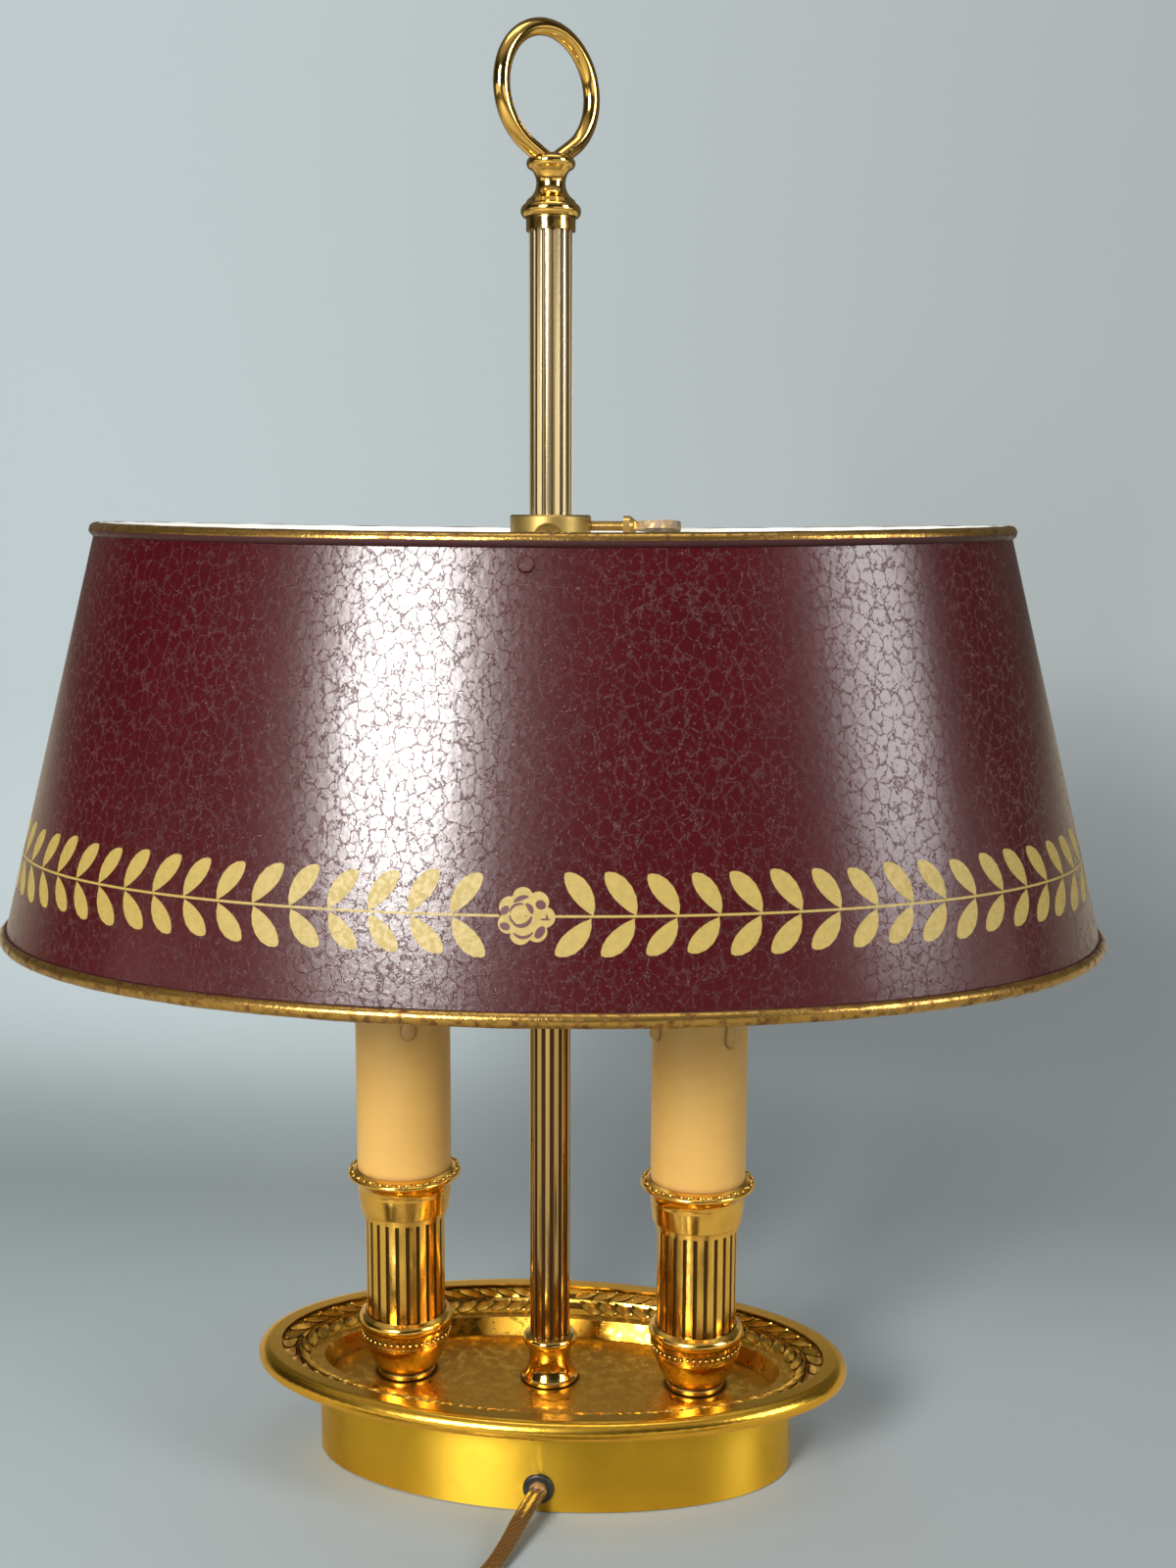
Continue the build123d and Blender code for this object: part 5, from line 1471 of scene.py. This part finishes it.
@dataclass
class CandleHolder:
    """Ornament and fillings of one candle holder.

    Attributes:
        side: left or right.
        x: where its axis stands.
        beads: how many beads go round the bowl.
        bead: radius of a bead.
        bead_ring: radius and height of the bead row.
        lip_leaves: how many leaves go round the cup's lip.
        lip_leaf: half length, half width and half thickness of such a leaf.
        lip_ring: radius and height of the leaves.
        candle_top: height of the candle's top.
        candle_radius: the candle's radius.
        trickle: half the width of a run of wax.
        drop: radius of the drop at its end.
        drop_depth: how far the drop bulges down.
        rim_wax: radius of the soft rim on the candle's top.
        bulb_foot: height of the bulb's foot.
        filament_reach: half the length of the filament.
    """

    side: str
    x: float
    beads: int = 44
    bead: float = 0.82 * MM
    bead_ring: Span = (14.0 * MM, 39.5 * MM)
    lip_leaves: int = 34
    lip_leaf: Point = (0.75 * MM, 1.75 * MM, 0.5 * MM)
    lip_ring: Span = (16.9 * MM, 94.2 * MM)
    candle_top: float = 190.0 * MM
    candle_radius: float = 15.0 * MM
    trickle: float = 1.62 * MM
    drop: float = 2.42 * MM
    drop_depth: float = 2.5 * MM
    rim_wax: float = 0.75 * MM
    bulb_foot: float = 186.0 * MM
    filament_reach: float = 4.5 * MM

    def around(self, angle: float, radius: float, height: float) -> Vector:
        """Returns a point round the holder's axis."""
        return Vector((self.x + radius * math.cos(angle), radius * math.sin(angle), height))

    def build_beads(self) -> None:
        """Makes the row of beads round the bowl."""
        bm = bmesh.new()
        for bead in range(self.beads):
            centre = self.around(FULL_TURN * bead / self.beads, *self.bead_ring)
            made = bmesh.ops.create_icosphere(bm, subdivisions=1, radius=self.bead)["verts"]
            bmesh.ops.scale(bm, verts=made, vec=(0.9, 1.0, 1.0))
            bmesh.ops.translate(bm, verts=made, vec=centre)
        finished(f"{self.side}_bead_row", bm, (CAST_GILT,), Body.BASE, sharp=80.0)

    def build_lip(self) -> None:
        """Makes the small leaves on the cup's lip, which lean to either side in turn."""
        bm = bmesh.new()
        lean = math.radians(28.0)
        for step in range(self.lip_leaves):
            angle = FULL_TURN * step / self.lip_leaves
            made = bmesh.ops.create_icosphere(bm, subdivisions=1, radius=1.0)["verts"]
            bmesh.ops.scale(bm, verts=made, vec=self.lip_leaf)
            turn = Matrix.Rotation(angle + (lean if step % 2 else -lean), 3, "Z")
            bmesh.ops.rotate(bm, verts=made, cent=(0.0, 0.0, 0.0), matrix=turn)
            bmesh.ops.translate(bm, verts=made, vec=self.around(angle, *self.lip_ring))
        finished(f"{self.side}_lip_leaves", bm, (CAST_GILT,), Body.BASE, sharp=80.0)

    def add_run(self, bm: BMesh, angle: float, length: float) -> None:
        """Adds one run of wax that ends in a drop.

        Args:
            bm: the bmesh to add to.
            angle: where it stands round the candle, in radians.
            length: from the candle's top to the middle of the drop.
        """
        foot = self.around(angle, self.candle_radius, self.candle_top - length)
        for vert in bmesh.ops.create_uvsphere(bm, u_segments=16, v_segments=12, radius=1.0)["verts"]:
            up = vert.co.z
            if up > 0.0:
                wide = self.drop + (self.trickle - self.drop) * min(1.0, 1.25 * up) ** 0.8
                wide *= max(0.0, 1.0 - up ** 8) ** 0.5
                height = length * up ** 2.2 + self.drop * up * (1.0 - up)
            else:
                wide = self.drop * max(0.0, 1.0 - up * up) ** 0.5
                height = self.drop_depth * up
            spread = wide / max(MERGED_WITHIN, vert.co.xy.length)
            vert.co = foot + Vector((vert.co.x * spread, vert.co.y * spread, height))

    def build_wax(self) -> None:
        """Makes the wax: its runs and a soft, uneven rim."""
        bm = bmesh.new()
        for degrees, length in WAX_RUNS[self.side]:
            self.add_run(bm, math.radians(degrees), length * MM)
        sides = 12

        def rim(angle: float, ring: int) -> Vector:
            """Returns a point of the rim's skin."""
            roll = FULL_TURN * ring / sides
            thick = self.rim_wax * (1.0 + 0.25 * math.sin(5.0 * angle + self.x * 900.0))
            radius = self.candle_radius - 0.55 * MM + thick * math.cos(roll)
            return self.around(angle, radius, self.candle_top - 0.35 * MM + thick * math.sin(roll))

        put(unit_tube(bm, 48, sides, joined=True), rim)
        finished(f"{self.side}_candle_wax", bm, (WAX,), Body.BASE, sharp=80.0)

    def build_stem(self) -> None:
        """Makes the glass stem inside the bulb."""
        bm = bmesh.new()
        height = 20.0 * MM
        stem = bmesh.ops.create_cone(bm, cap_ends=True, segments=16, radius1=3.4 * MM, radius2=1.5 * MM,
                                     depth=height)["verts"]
        bmesh.ops.translate(bm, verts=stem, vec=(self.x, 0.0, self.bulb_foot + height / 2.0))
        finished(f"{self.side}_bulb_stem", bm, (BULB_GLASS,), Body.BASE)

    def build_filament(self) -> None:
        """Makes the two leads on the stem and the coiled filament between them."""
        bm = bmesh.new()
        spread, start, rise = self.filament_reach, 1.0 * MM, 18.0 * MM
        lead_rings, lead_wire = 7, 0.22 * MM
        for sign in (-1, 1):

            def lead(angle: float, ring: int, sign: int = sign) -> Vector:
                """Returns a point of the lead's skin, on its way up and outwards."""
                share = ring / (lead_rings - 1)
                out = sign * (start + (spread - start) * share ** 1.5)
                foot = Vector((self.x + out, 0.0, self.bulb_foot + rise * (1.0 + share)))
                return foot + Vector((lead_wire * math.cos(angle), lead_wire * math.sin(angle), 0.0))

            put(unit_tube(bm, 8, lead_rings), lead)
        turns, per_turn = 14, 10
        coil, wire = 0.55 * MM, 0.12 * MM

        def wound(angle: float, ring: int) -> Vector:
            """Returns a point of the coiled wire's skin; the coil hangs up a little in its middle."""
            share = ring / (turns * per_turn)
            roll = FULL_TURN * ring / per_turn
            bow = 1.2 * MM * math.sin(math.pi * share)
            out = Vector((0.0, math.cos(roll), math.sin(roll)))
            along = Vector((self.x + spread * (2.0 * share - 1.0), 0.0, self.bulb_foot + 2.0 * rise + bow))
            return along + out * coil + round_way(out, Vector((1.0, 0.0, 0.0)), wire, angle)

        put(unit_tube(bm, 6, turns * per_turn + 1), wound)
        finished(f"{self.side}_filament", bm, (FILAMENT,), Body.BASE)

    def build(self) -> None:
        """Builds the holder's ornament, the wax and the bulb's inside."""
        self.build_beads()
        self.build_lip()
        self.build_wax()
        self.build_stem()
        self.build_filament()


# ---------- finial
@dataclass
class FinialRing:
    """Pear-shaped wire ring whose two ends run together into the vase.

    Attributes:
        centre: middle of the round part.
        radius: of the wire's centre line.
        wire: radius of the wire.
        turn: direction of the ring's plane from +X, in degrees.
        lean: how far it leans in that plane, in degrees.
        pinch: angle from straight down at which the straight ends begin, in degrees.
        stations: number of rings along the wire.
    """

    centre: Point = (-0.86 * MM, -0.99 * MM, 423.4 * MM)
    radius: float = 17.6 * MM
    wire: float = 2.45 * MM
    turn: float = 49.0
    lean: float = 4.4
    pinch: float = 30.0
    stations: int = 96

    @property
    def straight(self) -> float:
        """Length of each straight end."""
        return self.radius * math.tan(math.radians(self.pinch))

    @property
    def total(self) -> float:
        """Length of the whole centre line."""
        return 2.0 * (math.pi - math.radians(self.pinch)) * self.radius + 2.0 * self.straight

    def line(self, run: float) -> tuple[Vector, Vector]:
        """Follows the centre line in the ring's own plane.

        Args:
            run: length from one end.

        Returns:
            The point there and the direction outwards, from the middle of the round part.
        """
        pinch = math.radians(self.pinch)
        left = self.straight - min(run, self.total - run)
        if left > 0.0:
            sign = 1.0 if run < self.total / 2.0 else -1.0
            out = Vector((sign * math.sin(pinch), -math.cos(pinch)))
            way = Vector((-sign * math.cos(pinch), -math.sin(pinch)))
            return out * self.radius + way * left, out
        angle = pinch + (run - self.straight) / self.radius
        out = Vector((math.sin(angle), -math.cos(angle)))
        return out * self.radius, out

    def build(self) -> None:
        """Makes the ring."""
        turn = math.radians(self.turn)
        across = Vector((math.cos(turn), math.sin(turn), 0.0))
        flat = Vector((-across.y, across.x, 0.0))
        lean = Matrix.Rotation(math.radians(-self.lean), 3, flat)
        side, rise = lean @ across, lean @ UP

        def place(angle: float, ring: int) -> Vector:
            """Returns a point of the wire's skin."""
            spot, out = self.line(self.total * ring / (self.stations - 1))
            spot = Vector(self.centre) + side * spot.x + rise * spot.y
            return spot + round_way(side * out.x + rise * out.y, flat, self.wire, angle)

        bm = bmesh.new()
        put(unit_tube(bm, 24, self.stations), place)
        close_ends(bm)
        finished("pear_ring", bm, (TURNED_BRASS,), Body.BASE, ("finial_ring",), sharp=80.0)


# ---------- cord
@dataclass
class Boot:
    """Ribbed, tapered strain relief round the cord.

    Attributes:
        name: the piece's name.
        start: its thick end, in mm.
        way: direction away from the fitting, +1 or -1 along X.
        length: from end to end.
        radii: at the thick and the thin end.
        rings: number of rings along it, of which the first and the last close its ends.
        groove: depth of the grooves between its ribs.
        flattening: how much lower than wide it is at the thin end.
    """

    name: str
    start: Point
    way: float
    length: float
    radii: Span
    rings: int = 29
    groove: float = 0.45 * MM
    flattening: float = 0.25

    def place(self, angle: float, ring: int) -> Vector:
        """Finds a point of the boot's skin.

        Args:
            angle: round the cord, in radians.
            ring: number of the ring, from the thick end.

        Returns:
            The point.
        """
        share = min(1.0, max(0.0, (ring - 1) / (self.rings - 3)))
        radius = self.radii[0] + (self.radii[1] - self.radii[0]) * share
        if 1 < ring < self.rings - 3 and ring % 4 in (0, 1):
            radius -= self.groove
        if ring in (0, self.rings - 1):
            radius *= 0.3
        along = Vector((self.way, 0.0, 0.0))
        side = Vector((0.0, -self.way, 0.0))
        spot = Vector(self.start) * MM + along * (self.length * share)
        return spot + round_way(side, UP * (1.0 - self.flattening * share), radius, angle)

    def build(self) -> bpy.types.Object:
        """Makes the boot.

        Returns:
            The boot's object.
        """
        bm = bmesh.new()
        put(unit_tube(bm, 24, self.rings), self.place)
        close_ends(bm)
        return finished(self.name, bm, (FITTING,), Body.BASE, sharp=50.0)


@dataclass
class TwistTie:
    """Twist tie round the cord's coil, with its twisted ends.

    Attributes:
        coil_centre: middle of the coil, in mm.
        angle: where the tie stands round the coil, in degrees.
        reach: distance from the coil's middle to the tie's.
        half_width: from the middle of a loop to the middle of its band, across the turns.
        half_height: the same upwards.
        height: height of a loop's middle.
        shift: half the distance between the two loops.
        band: half width and half thickness of the band.
        twist: radius of the twisted ends' lay.
        twist_wire: radius of each end.
        twist_length: length of the twisted part.
    """

    coil_centre: Span
    angle: float = 140.0
    reach: float = 30.0 * MM
    half_width: float = 11.6 * MM
    half_height: float = 3.15 * MM
    height: float = 3.1 * MM
    shift: float = 1.3 * MM
    band: Span = (1.1 * MM, 0.7 * MM)
    twist: float = 0.75 * MM
    twist_wire: float = 0.65 * MM
    twist_length: float = 15.0 * MM

    def build(self) -> None:
        """Makes the two loops and the two ends twisted round each other."""
        bm = bmesh.new()
        angle = math.radians(self.angle)
        out = Vector((math.cos(angle), math.sin(angle), 0.0))
        side = Vector((-out.y, out.x, 0.0))
        centre = Vector((*self.coil_centre, 0.0)) * MM + out * self.reach
        sides, end_rings = 8, 25
        wide_band, thick_band = self.band

        def boxy(value: float) -> float:
            """Returns a sine or cosine drawn out so that a circle becomes a box with round corners."""
            return math.copysign(abs(value) ** 0.45, value)

        for sign in (-1, 1):

            def loop(turn: float, ring: int, sign: int = sign) -> Vector:
                """Returns a point of a loop's band, which lies flat on the floor."""
                roll = FULL_TURN * ring / sides
                thick = thick_band * math.cos(roll)
                x = boxy(math.cos(turn)) * (self.half_width + thick)
                z = self.height + boxy(math.sin(turn)) * (self.half_height + thick)
                y = sign * self.shift + wide_band * math.sin(roll)
                return centre + out * x + side * y + UP * max(0.05 * MM, z)

            put(unit_tube(bm, 40, sides, joined=True), loop)
        for start in (math.pi, 0.0):

            def end(turn: float, ring: int, start: float = start) -> Vector:
                """Returns a point of one end's skin, which winds two and a half times round the other."""
                share = ring / (end_rings - 1)
                roll = FULL_TURN * 2.5 * share + start
                spot = centre + side * (2.0 * MM + self.twist_length * share) + UP * (7.1 - 0.8 * share) * MM
                wound = round_way(out, UP, self.twist, roll)
                return spot + wound + round_way(out, UP, self.twist_wire, turn)

            put(unit_tube(bm, 8, end_rings), end)
        close_ends(bm)
        finished("twist_tie", bm, (TIE,), Body.BASE, ("coil_tie",), sharp=60.0)


@dataclass
class Cord:
    """Flat twin cord from the grommet through its switch and coil to the plug.

    Attributes:
        length: of the whole cord; not used.
        width: across both cores.
        thickness: of one core.
        coil_centre: middle of the coil, in mm.
        coil_radii: radius of each of the coil's turns from its first to its last, in mm.
        lower_turns: how many of them lie on the floor.
        each: points on a turn.
        layers: height of the cord's middle on the floor and on top of another turn, in mm.
        step_start: share of a turn after which the cord moves over to the next one.
        drawn_in: how far inside its points the smooth line of a turn runs, as a share of its radius.
    """

    length: float = 1.8
    width: float = 5.5 * MM
    thickness: float = 2.9 * MM
    coil_centre: Span = (22.0, -146.5)
    coil_radii: tuple[float, ...] = (38.15, 32.65, 27.15, 21.65, 24.4, 29.9, 35.4, 38.15)
    lower_turns: int = 4
    each: int = 16
    layers: Span = (1.5, 4.45)
    step_start: float = 0.6
    drawn_in: float = 0.981

    def lead(self) -> list[Point]:
        """Returns the points from the grommet to the coil, in mm."""
        return [
            (1.2, -40.3, 8.0), (-1.7, -49.6, 6.6), (-4.7, -60.4, 3.4), (-8.2, -71.6, 1.6),
            (-14.8, -85.1, 1.5), (-24.6, -97.7, 1.5), (-35.5, -107.0, 1.6), (-46.0, -113.6, 3.4),
            (-57.0, -119.0, 6.8), (-66.0, -119.7, 7.0), (-81.5, -119.7, 7.0), (-111.5, -119.7, 7.0),
            (-141.5, -119.7, 7.0), (-158.0, -119.7, 7.0), (-168.5, -124.0, 5.4), (-177.5, -137.4, 2.4),
            (-181.1, -155.8, 1.5), (-175.7, -171.4, 1.5), (-164.4, -182.7, 1.5), (-148.6, -189.1, 1.5),
            (-126.7, -191.0, 1.5), (-98.8, -189.0, 1.5), (-68.1, -184.7, 1.5), (-38.1, -183.6, 1.5),
            (-14.0, -184.9, 1.5), (4.0, -185.1, 1.5),
        ]

    def turns(self) -> list[Point]:
        """Winds the coil: four turns inwards on the floor, then three outwards on top of them.

        Returns:
            The points of its turns, in mm.
        """
        spots: list[Point] = []
        last = len(self.coil_radii) - 1
        low, high = self.layers
        for step in range(last * self.each + 3):
            ring = step // self.each
            share = max(0.0, (step / self.each - ring - self.step_start) / (1.0 - self.step_start))
            start, end = self.coil_radii[ring], self.coil_radii[min(ring + 1, last)]
            radius = (start + (end - start) * share) / self.drawn_in
            climb = share if ring == self.lower_turns - 1 else float(ring >= self.lower_turns)
            angle = FULL_TURN * step / self.each - math.pi / 2.0
            spots.append((self.coil_centre[0] + radius * math.cos(angle),
                          self.coil_centre[1] + radius * math.sin(angle), low + (high - low) * climb))
        return spots

    def tail(self) -> list[Point]:
        """Returns the points from the coil to the plug, in mm."""
        return [(51.0, -173.8, 4.45), (62.0, -167.4, 4.6), (73.4, -161.0, 5.6), (84.0, -157.5, 6.75),
                (96.0, -157.3, 6.75), (111.5, -157.3, 6.75)]

    def section(self) -> bpy.types.Object:
        """Draws the cord's cross-section, two cores side by side.

        Returns:
            The section's curve, which the scene doesn't show.
        """
        data = bpy.data.curves.new("cord_section", "CURVE")
        data.dimensions = "2D"
        core = self.thickness / 2.0
        offset = self.width / 2.0 - core
        half_arc, steps = 118.0, 8
        spots: list[Span] = []
        for sign in (1, -1):
            for step in range(steps + 1):
                angle = math.radians(half_arc * (2.0 * step / steps - 1.0))
                spots.append((sign * (offset + core * math.cos(angle)), sign * core * math.sin(angle)))
        spline = data.splines.new("POLY")
        spline.points.add(len(spots) - 1)
        for point, (x, y) in zip(spline.points, spots):
            point.co = (x, y, 0.0, 1.0)
        spline.use_cyclic_u = True
        return bpy.data.objects.new("cord_section", data)

    def line(self) -> bpy.types.Object:
        """Makes the cord itself along its whole route.

        Returns:
            The cord's object.
        """
        data = bpy.data.curves.new("twin_cord", "CURVE")
        data.dimensions = "3D"
        data.twist_mode = "Z_UP"
        data.resolution_u = 8
        spots = self.lead() + self.turns() + self.tail()
        spline = data.splines.new("NURBS")
        spline.points.add(len(spots) - 1)
        for point, (x, y, z) in zip(spline.points, spots):
            point.co = (x * MM, y * MM, z * MM, 1.0)
        spline.order_u = 3
        spline.use_endpoint_u = True
        data.bevel_mode = "OBJECT"
        data.bevel_object = self.section()
        data.use_fill_caps = True
        data.materials.append(CORD.material())
        log.info("twin_cord: %d points on base", len(spots))
        return linked("twin_cord", data)

    def build(self) -> None:
        cord = self.line()
        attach(cord, Body.BASE.value)
        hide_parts("cord_lead", "cord_run", "cord_coil", "cord_tail")
        boots = [
            Boot("switch_boot_in", (-82.0, -119.7, 7.0), 1.0, 20.5 * MM, (4.4 * MM, 3.3 * MM)).build(),
            Boot("switch_boot_out", (-141.0, -119.7, 7.0), -1.0, 20.5 * MM, (4.4 * MM, 3.3 * MM)).build(),
            Boot("plug_boot", (111.3, -157.3, 6.75), -1.0, 24.0 * MM, (5.4 * MM, 3.4 * MM)).build(),
        ]
        TwistTie(self.coil_centre).build()


# ---------- studio
@dataclass(frozen=True)
class SoftBox:
    """Soft light that faces the shade.

    Attributes:
        name: the light's name.
        azimuth: from the front towards +X, in degrees.
        elevation: above the level, in degrees.
        distance: in metres.
        size: width and height in metres.
        power: in watts.
        colour: of its light.
    """

    name: str
    azimuth: float
    elevation: float
    distance: float
    size: Span
    power: float
    colour: Colour = (1.0, 1.0, 1.0)

    def add(self, aim: Point) -> None:
        """Adds the light.

        Args:
            aim: the point that it faces.
        """
        data = bpy.data.lights.new(self.name, "AREA")
        data.shape = "RECTANGLE"
        data.size, data.size_y = self.size
        data.energy = self.power
        data.color = self.colour
        light = linked(self.name, data)
        turn, rise = math.radians(self.azimuth), math.radians(self.elevation)
        way = Vector((math.sin(turn) * math.cos(rise), -math.cos(turn) * math.cos(rise), math.sin(rise)))
        light.location = Vector(aim) + way * self.distance
        light.rotation_euler = (-way).to_track_quat("-Z", "Y").to_euler()
        light.visible_camera = False


@dataclass(frozen=True)
class PaleRoom:
    """Surroundings that light the lamp and show in its metal.

    Attributes:
        seen: tone in direct sight, low and high.
        light: tone of the even light that it gives.
        shine: tone of its brightest parts in polished metal.
        strength: how bright the windows show in polished metal.
        dim: how bright the walls between them show there.
    """

    seen: tuple[Colour, Colour] = ((0.42, 0.47, 0.50), (0.60, 0.66, 0.69))
    light: Colour = (0.13, 0.135, 0.14)
    shine: Colour = (1.0, 0.93, 0.80)
    strength: float = 2.0
    dim: float = 0.04

    def glow(self, wiring: Wiring, way: Socket) -> Socket:
        """Works out how bright the room shows in polished metal.

        Args:
            wiring: the world's nodes.
            way: the direction into the room.

        Returns:
            The brightness: two low windows, left and right of the front, and a soft ceiling.
        """
        side, depth, height = wiring.axes(way)
        azimuth = wiring.maths("ARCTAN2", side, wiring.times(depth, -1.0))
        right = wiring.times(wiring.ramp(azimuth, 0.25, 0.45), wiring.ramp(azimuth, 2.0, 1.7))
        left = wiring.times(wiring.ramp(azimuth, -1.45, -1.2), wiring.ramp(azimuth, -0.22, -0.4, 0.0, 0.7))
        windows = wiring.maths("ADD", wiring.maths("MAXIMUM", right, left), self.dim)
        low = wiring.times(wiring.ramp(height, 0.15, 0.08), wiring.ramp(height, -0.35, 0.0, 0.15, 1.0))
        walls = wiring.times(wiring.times(low, windows), self.strength)
        return wiring.maths("ADD", walls, wiring.ramp(height, 0.5, 0.95, 0.025, 0.5))

    def build(self) -> None:
        """Makes the room the scene's world."""
        world = bpy.data.worlds.new("pale_room")
        world.use_nodes = True
        world.node_tree.nodes.clear()
        wiring = Wiring(world.node_tree)
        way = wiring.node("ShaderNodeTexCoord").outputs["Generated"]
        height = wiring.axes(way)[2]
        seen = wiring.blend(wiring.ramp(height, -0.1, 0.5), self.seen[0], self.seen[1])
        shine = wiring.blend(self.glow(wiring, way), (0.0, 0.0, 0.0), self.shine)
        path = wiring.node("ShaderNodeLightPath")
        tone = wiring.blend(path.outputs["Is Glossy Ray"], self.light, shine)
        direct = wiring.maths("MAXIMUM", path.outputs["Is Camera Ray"], path.outputs["Is Transmission Ray"])
        inputs = {"Color": wiring.blend(direct, tone, seen), "Strength": 1.0}
        background = wiring.node("ShaderNodeBackground", inputs).outputs[0]
        wiring.node("ShaderNodeOutputWorld", {"Surface": background})
        bpy.context.scene.world = world


@dataclass
class Studio:
    """Camera, lights, floor and background.

    Attributes:
        eye: where the camera stands.
        heading: its direction from +Y towards -X, in degrees.
        pitch: how far it looks down, in degrees.
        roll: how far it leans, in degrees.
        lens: focal length in mm, for a 36 mm side.
        aim: the point that the lights face.
        boxes: the lights.
        paper_front: Y where the paper's floor begins.
        paper_width: width of the paper.
        paper_sweep: radius of its bend.
        paper_top: height of the paper above the bend.
    """

    eye: Point = (65.08 * MM, -537.0 * MM, 301.26 * MM)
    heading: float = 5.68
    pitch: float = 8.59
    roll: float = 0.24
    lens: float = 40.72
    aim: Point = (0.0, 0.0, 0.24)
    boxes: tuple[SoftBox, ...] = (
        SoftBox("window_left", -23.0, 23.5, 1.5, (0.48, 0.62), 24.0, (1.0, 0.99, 0.97)),
        SoftBox("window_left_pane", -23.0, 20.0, 1.5, (0.42, 0.26), 9.5, (1.0, 0.99, 0.97)),
        SoftBox("window_right", 67.0, 22.0, 1.6, (0.5, 0.8), 13.0, (0.97, 0.98, 1.0)),
        SoftBox("overhead", 0.0, 84.0, 1.7, (1.4, 0.6), 5.0),
    )
    paper_front: float = -5.0
    paper_width: float = 8.0
    paper_sweep: float = 0.20
    paper_top: float = 3.0

    def set_camera(self) -> None:
        """Makes the camera and sets it as the scene's own."""
        data = bpy.data.cameras.new("lamp_camera")
        data.lens = self.lens
        data.sensor_width = 36.0
        data.clip_start = 0.01
        camera = linked("lamp_camera", data)
        turn = (Matrix.Rotation(math.radians(self.heading), 4, "Z")
                @ Matrix.Rotation(math.radians(90.0 - self.pitch), 4, "X")
                @ Matrix.Rotation(math.radians(self.roll), 4, "Z"))
        camera.matrix_world = Matrix.Translation(self.eye) @ turn
        bpy.context.scene.camera = camera

    def profile(self, share: float) -> Span:
        """Follows the paper from its front edge over the floor and up.

        Args:
            share: from 0 at the front edge to 1 at the top.

        Returns:
            Depth and height there: a quarter of the way floor, half of it bend, and then upright.
        """
        if share <= 0.25:
            return self.paper_front + (PAPER.bend - self.paper_front) * share / 0.25, 0.0
        if share <= 0.75:
            angle = math.pi * (share - 0.25)
            return (PAPER.bend + self.paper_sweep * math.sin(angle),
                    self.paper_sweep * (1.0 - math.cos(angle)))
        return PAPER.bend + self.paper_sweep, self.paper_sweep + self.paper_top * (share - 0.75) / 0.25

    def add_backdrop(self) -> None:
        """Makes the floor and, behind the lamp, the paper that sweeps up from it."""
        bm = bmesh.new()
        for vert in unit_patch(bm, 2, 40):
            across = (vert.co.x - 0.5) * self.paper_width
            vert.co = (across, *self.profile((vert.co.y + 1.0) / 2.0))
        bmesh.ops.recalc_face_normals(bm, faces=bm.faces)
        floor = min(bm.faces, key=lambda face: face.calc_center_median().z)
        if floor.normal.z < 0.0:
            bmesh.ops.reverse_faces(bm, faces=bm.faces)
        mesh = smooth_mesh("backdrop", bm)
        mesh.materials.append(PAPER.material())
        linked("backdrop", mesh)

    def build(self) -> None:
        """Sets up everything round the lamp."""
        bpy.context.scene.view_settings.view_transform = "Standard"
        self.set_camera()
        PaleRoom().build()
        self.add_backdrop()
        for box in self.boxes:
            box.add(self.aim)
        log.info("studio is set")


def dress_solids() -> None:
    """Gives every CAD node its finish."""
    finishes = dict(NODE_FINISHES)
    for side in ("left", "right"):
        finishes.update({f"{side}_{name}": finish for name, finish in SIDE_FINISHES.items()})
    finishes["left_holder_shaft"] = LEFT_SHAFT_GILT
    finishes["right_holder_shaft"] = RIGHT_SHAFT_GILT
    for name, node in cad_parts.items():
        for place in node.material_slots:
            place.material = finishes[name].material()
    log.info("%d solids dressed", len(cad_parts))


def main() -> None:
    """Builds the lamp's looks in order."""
    logging.basicConfig(level=logging.INFO, format="%(name)s: %(message)s")
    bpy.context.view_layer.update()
    Studio().build()
    dress_solids()
    Cord().build()
    Shade().build()
    Dish().build()
    CandleHolder("left", -HOLDER_X).build()
    CandleHolder("right", HOLDER_X).build()
    FinialRing().build()


if __name__ == "__main__":
    main()
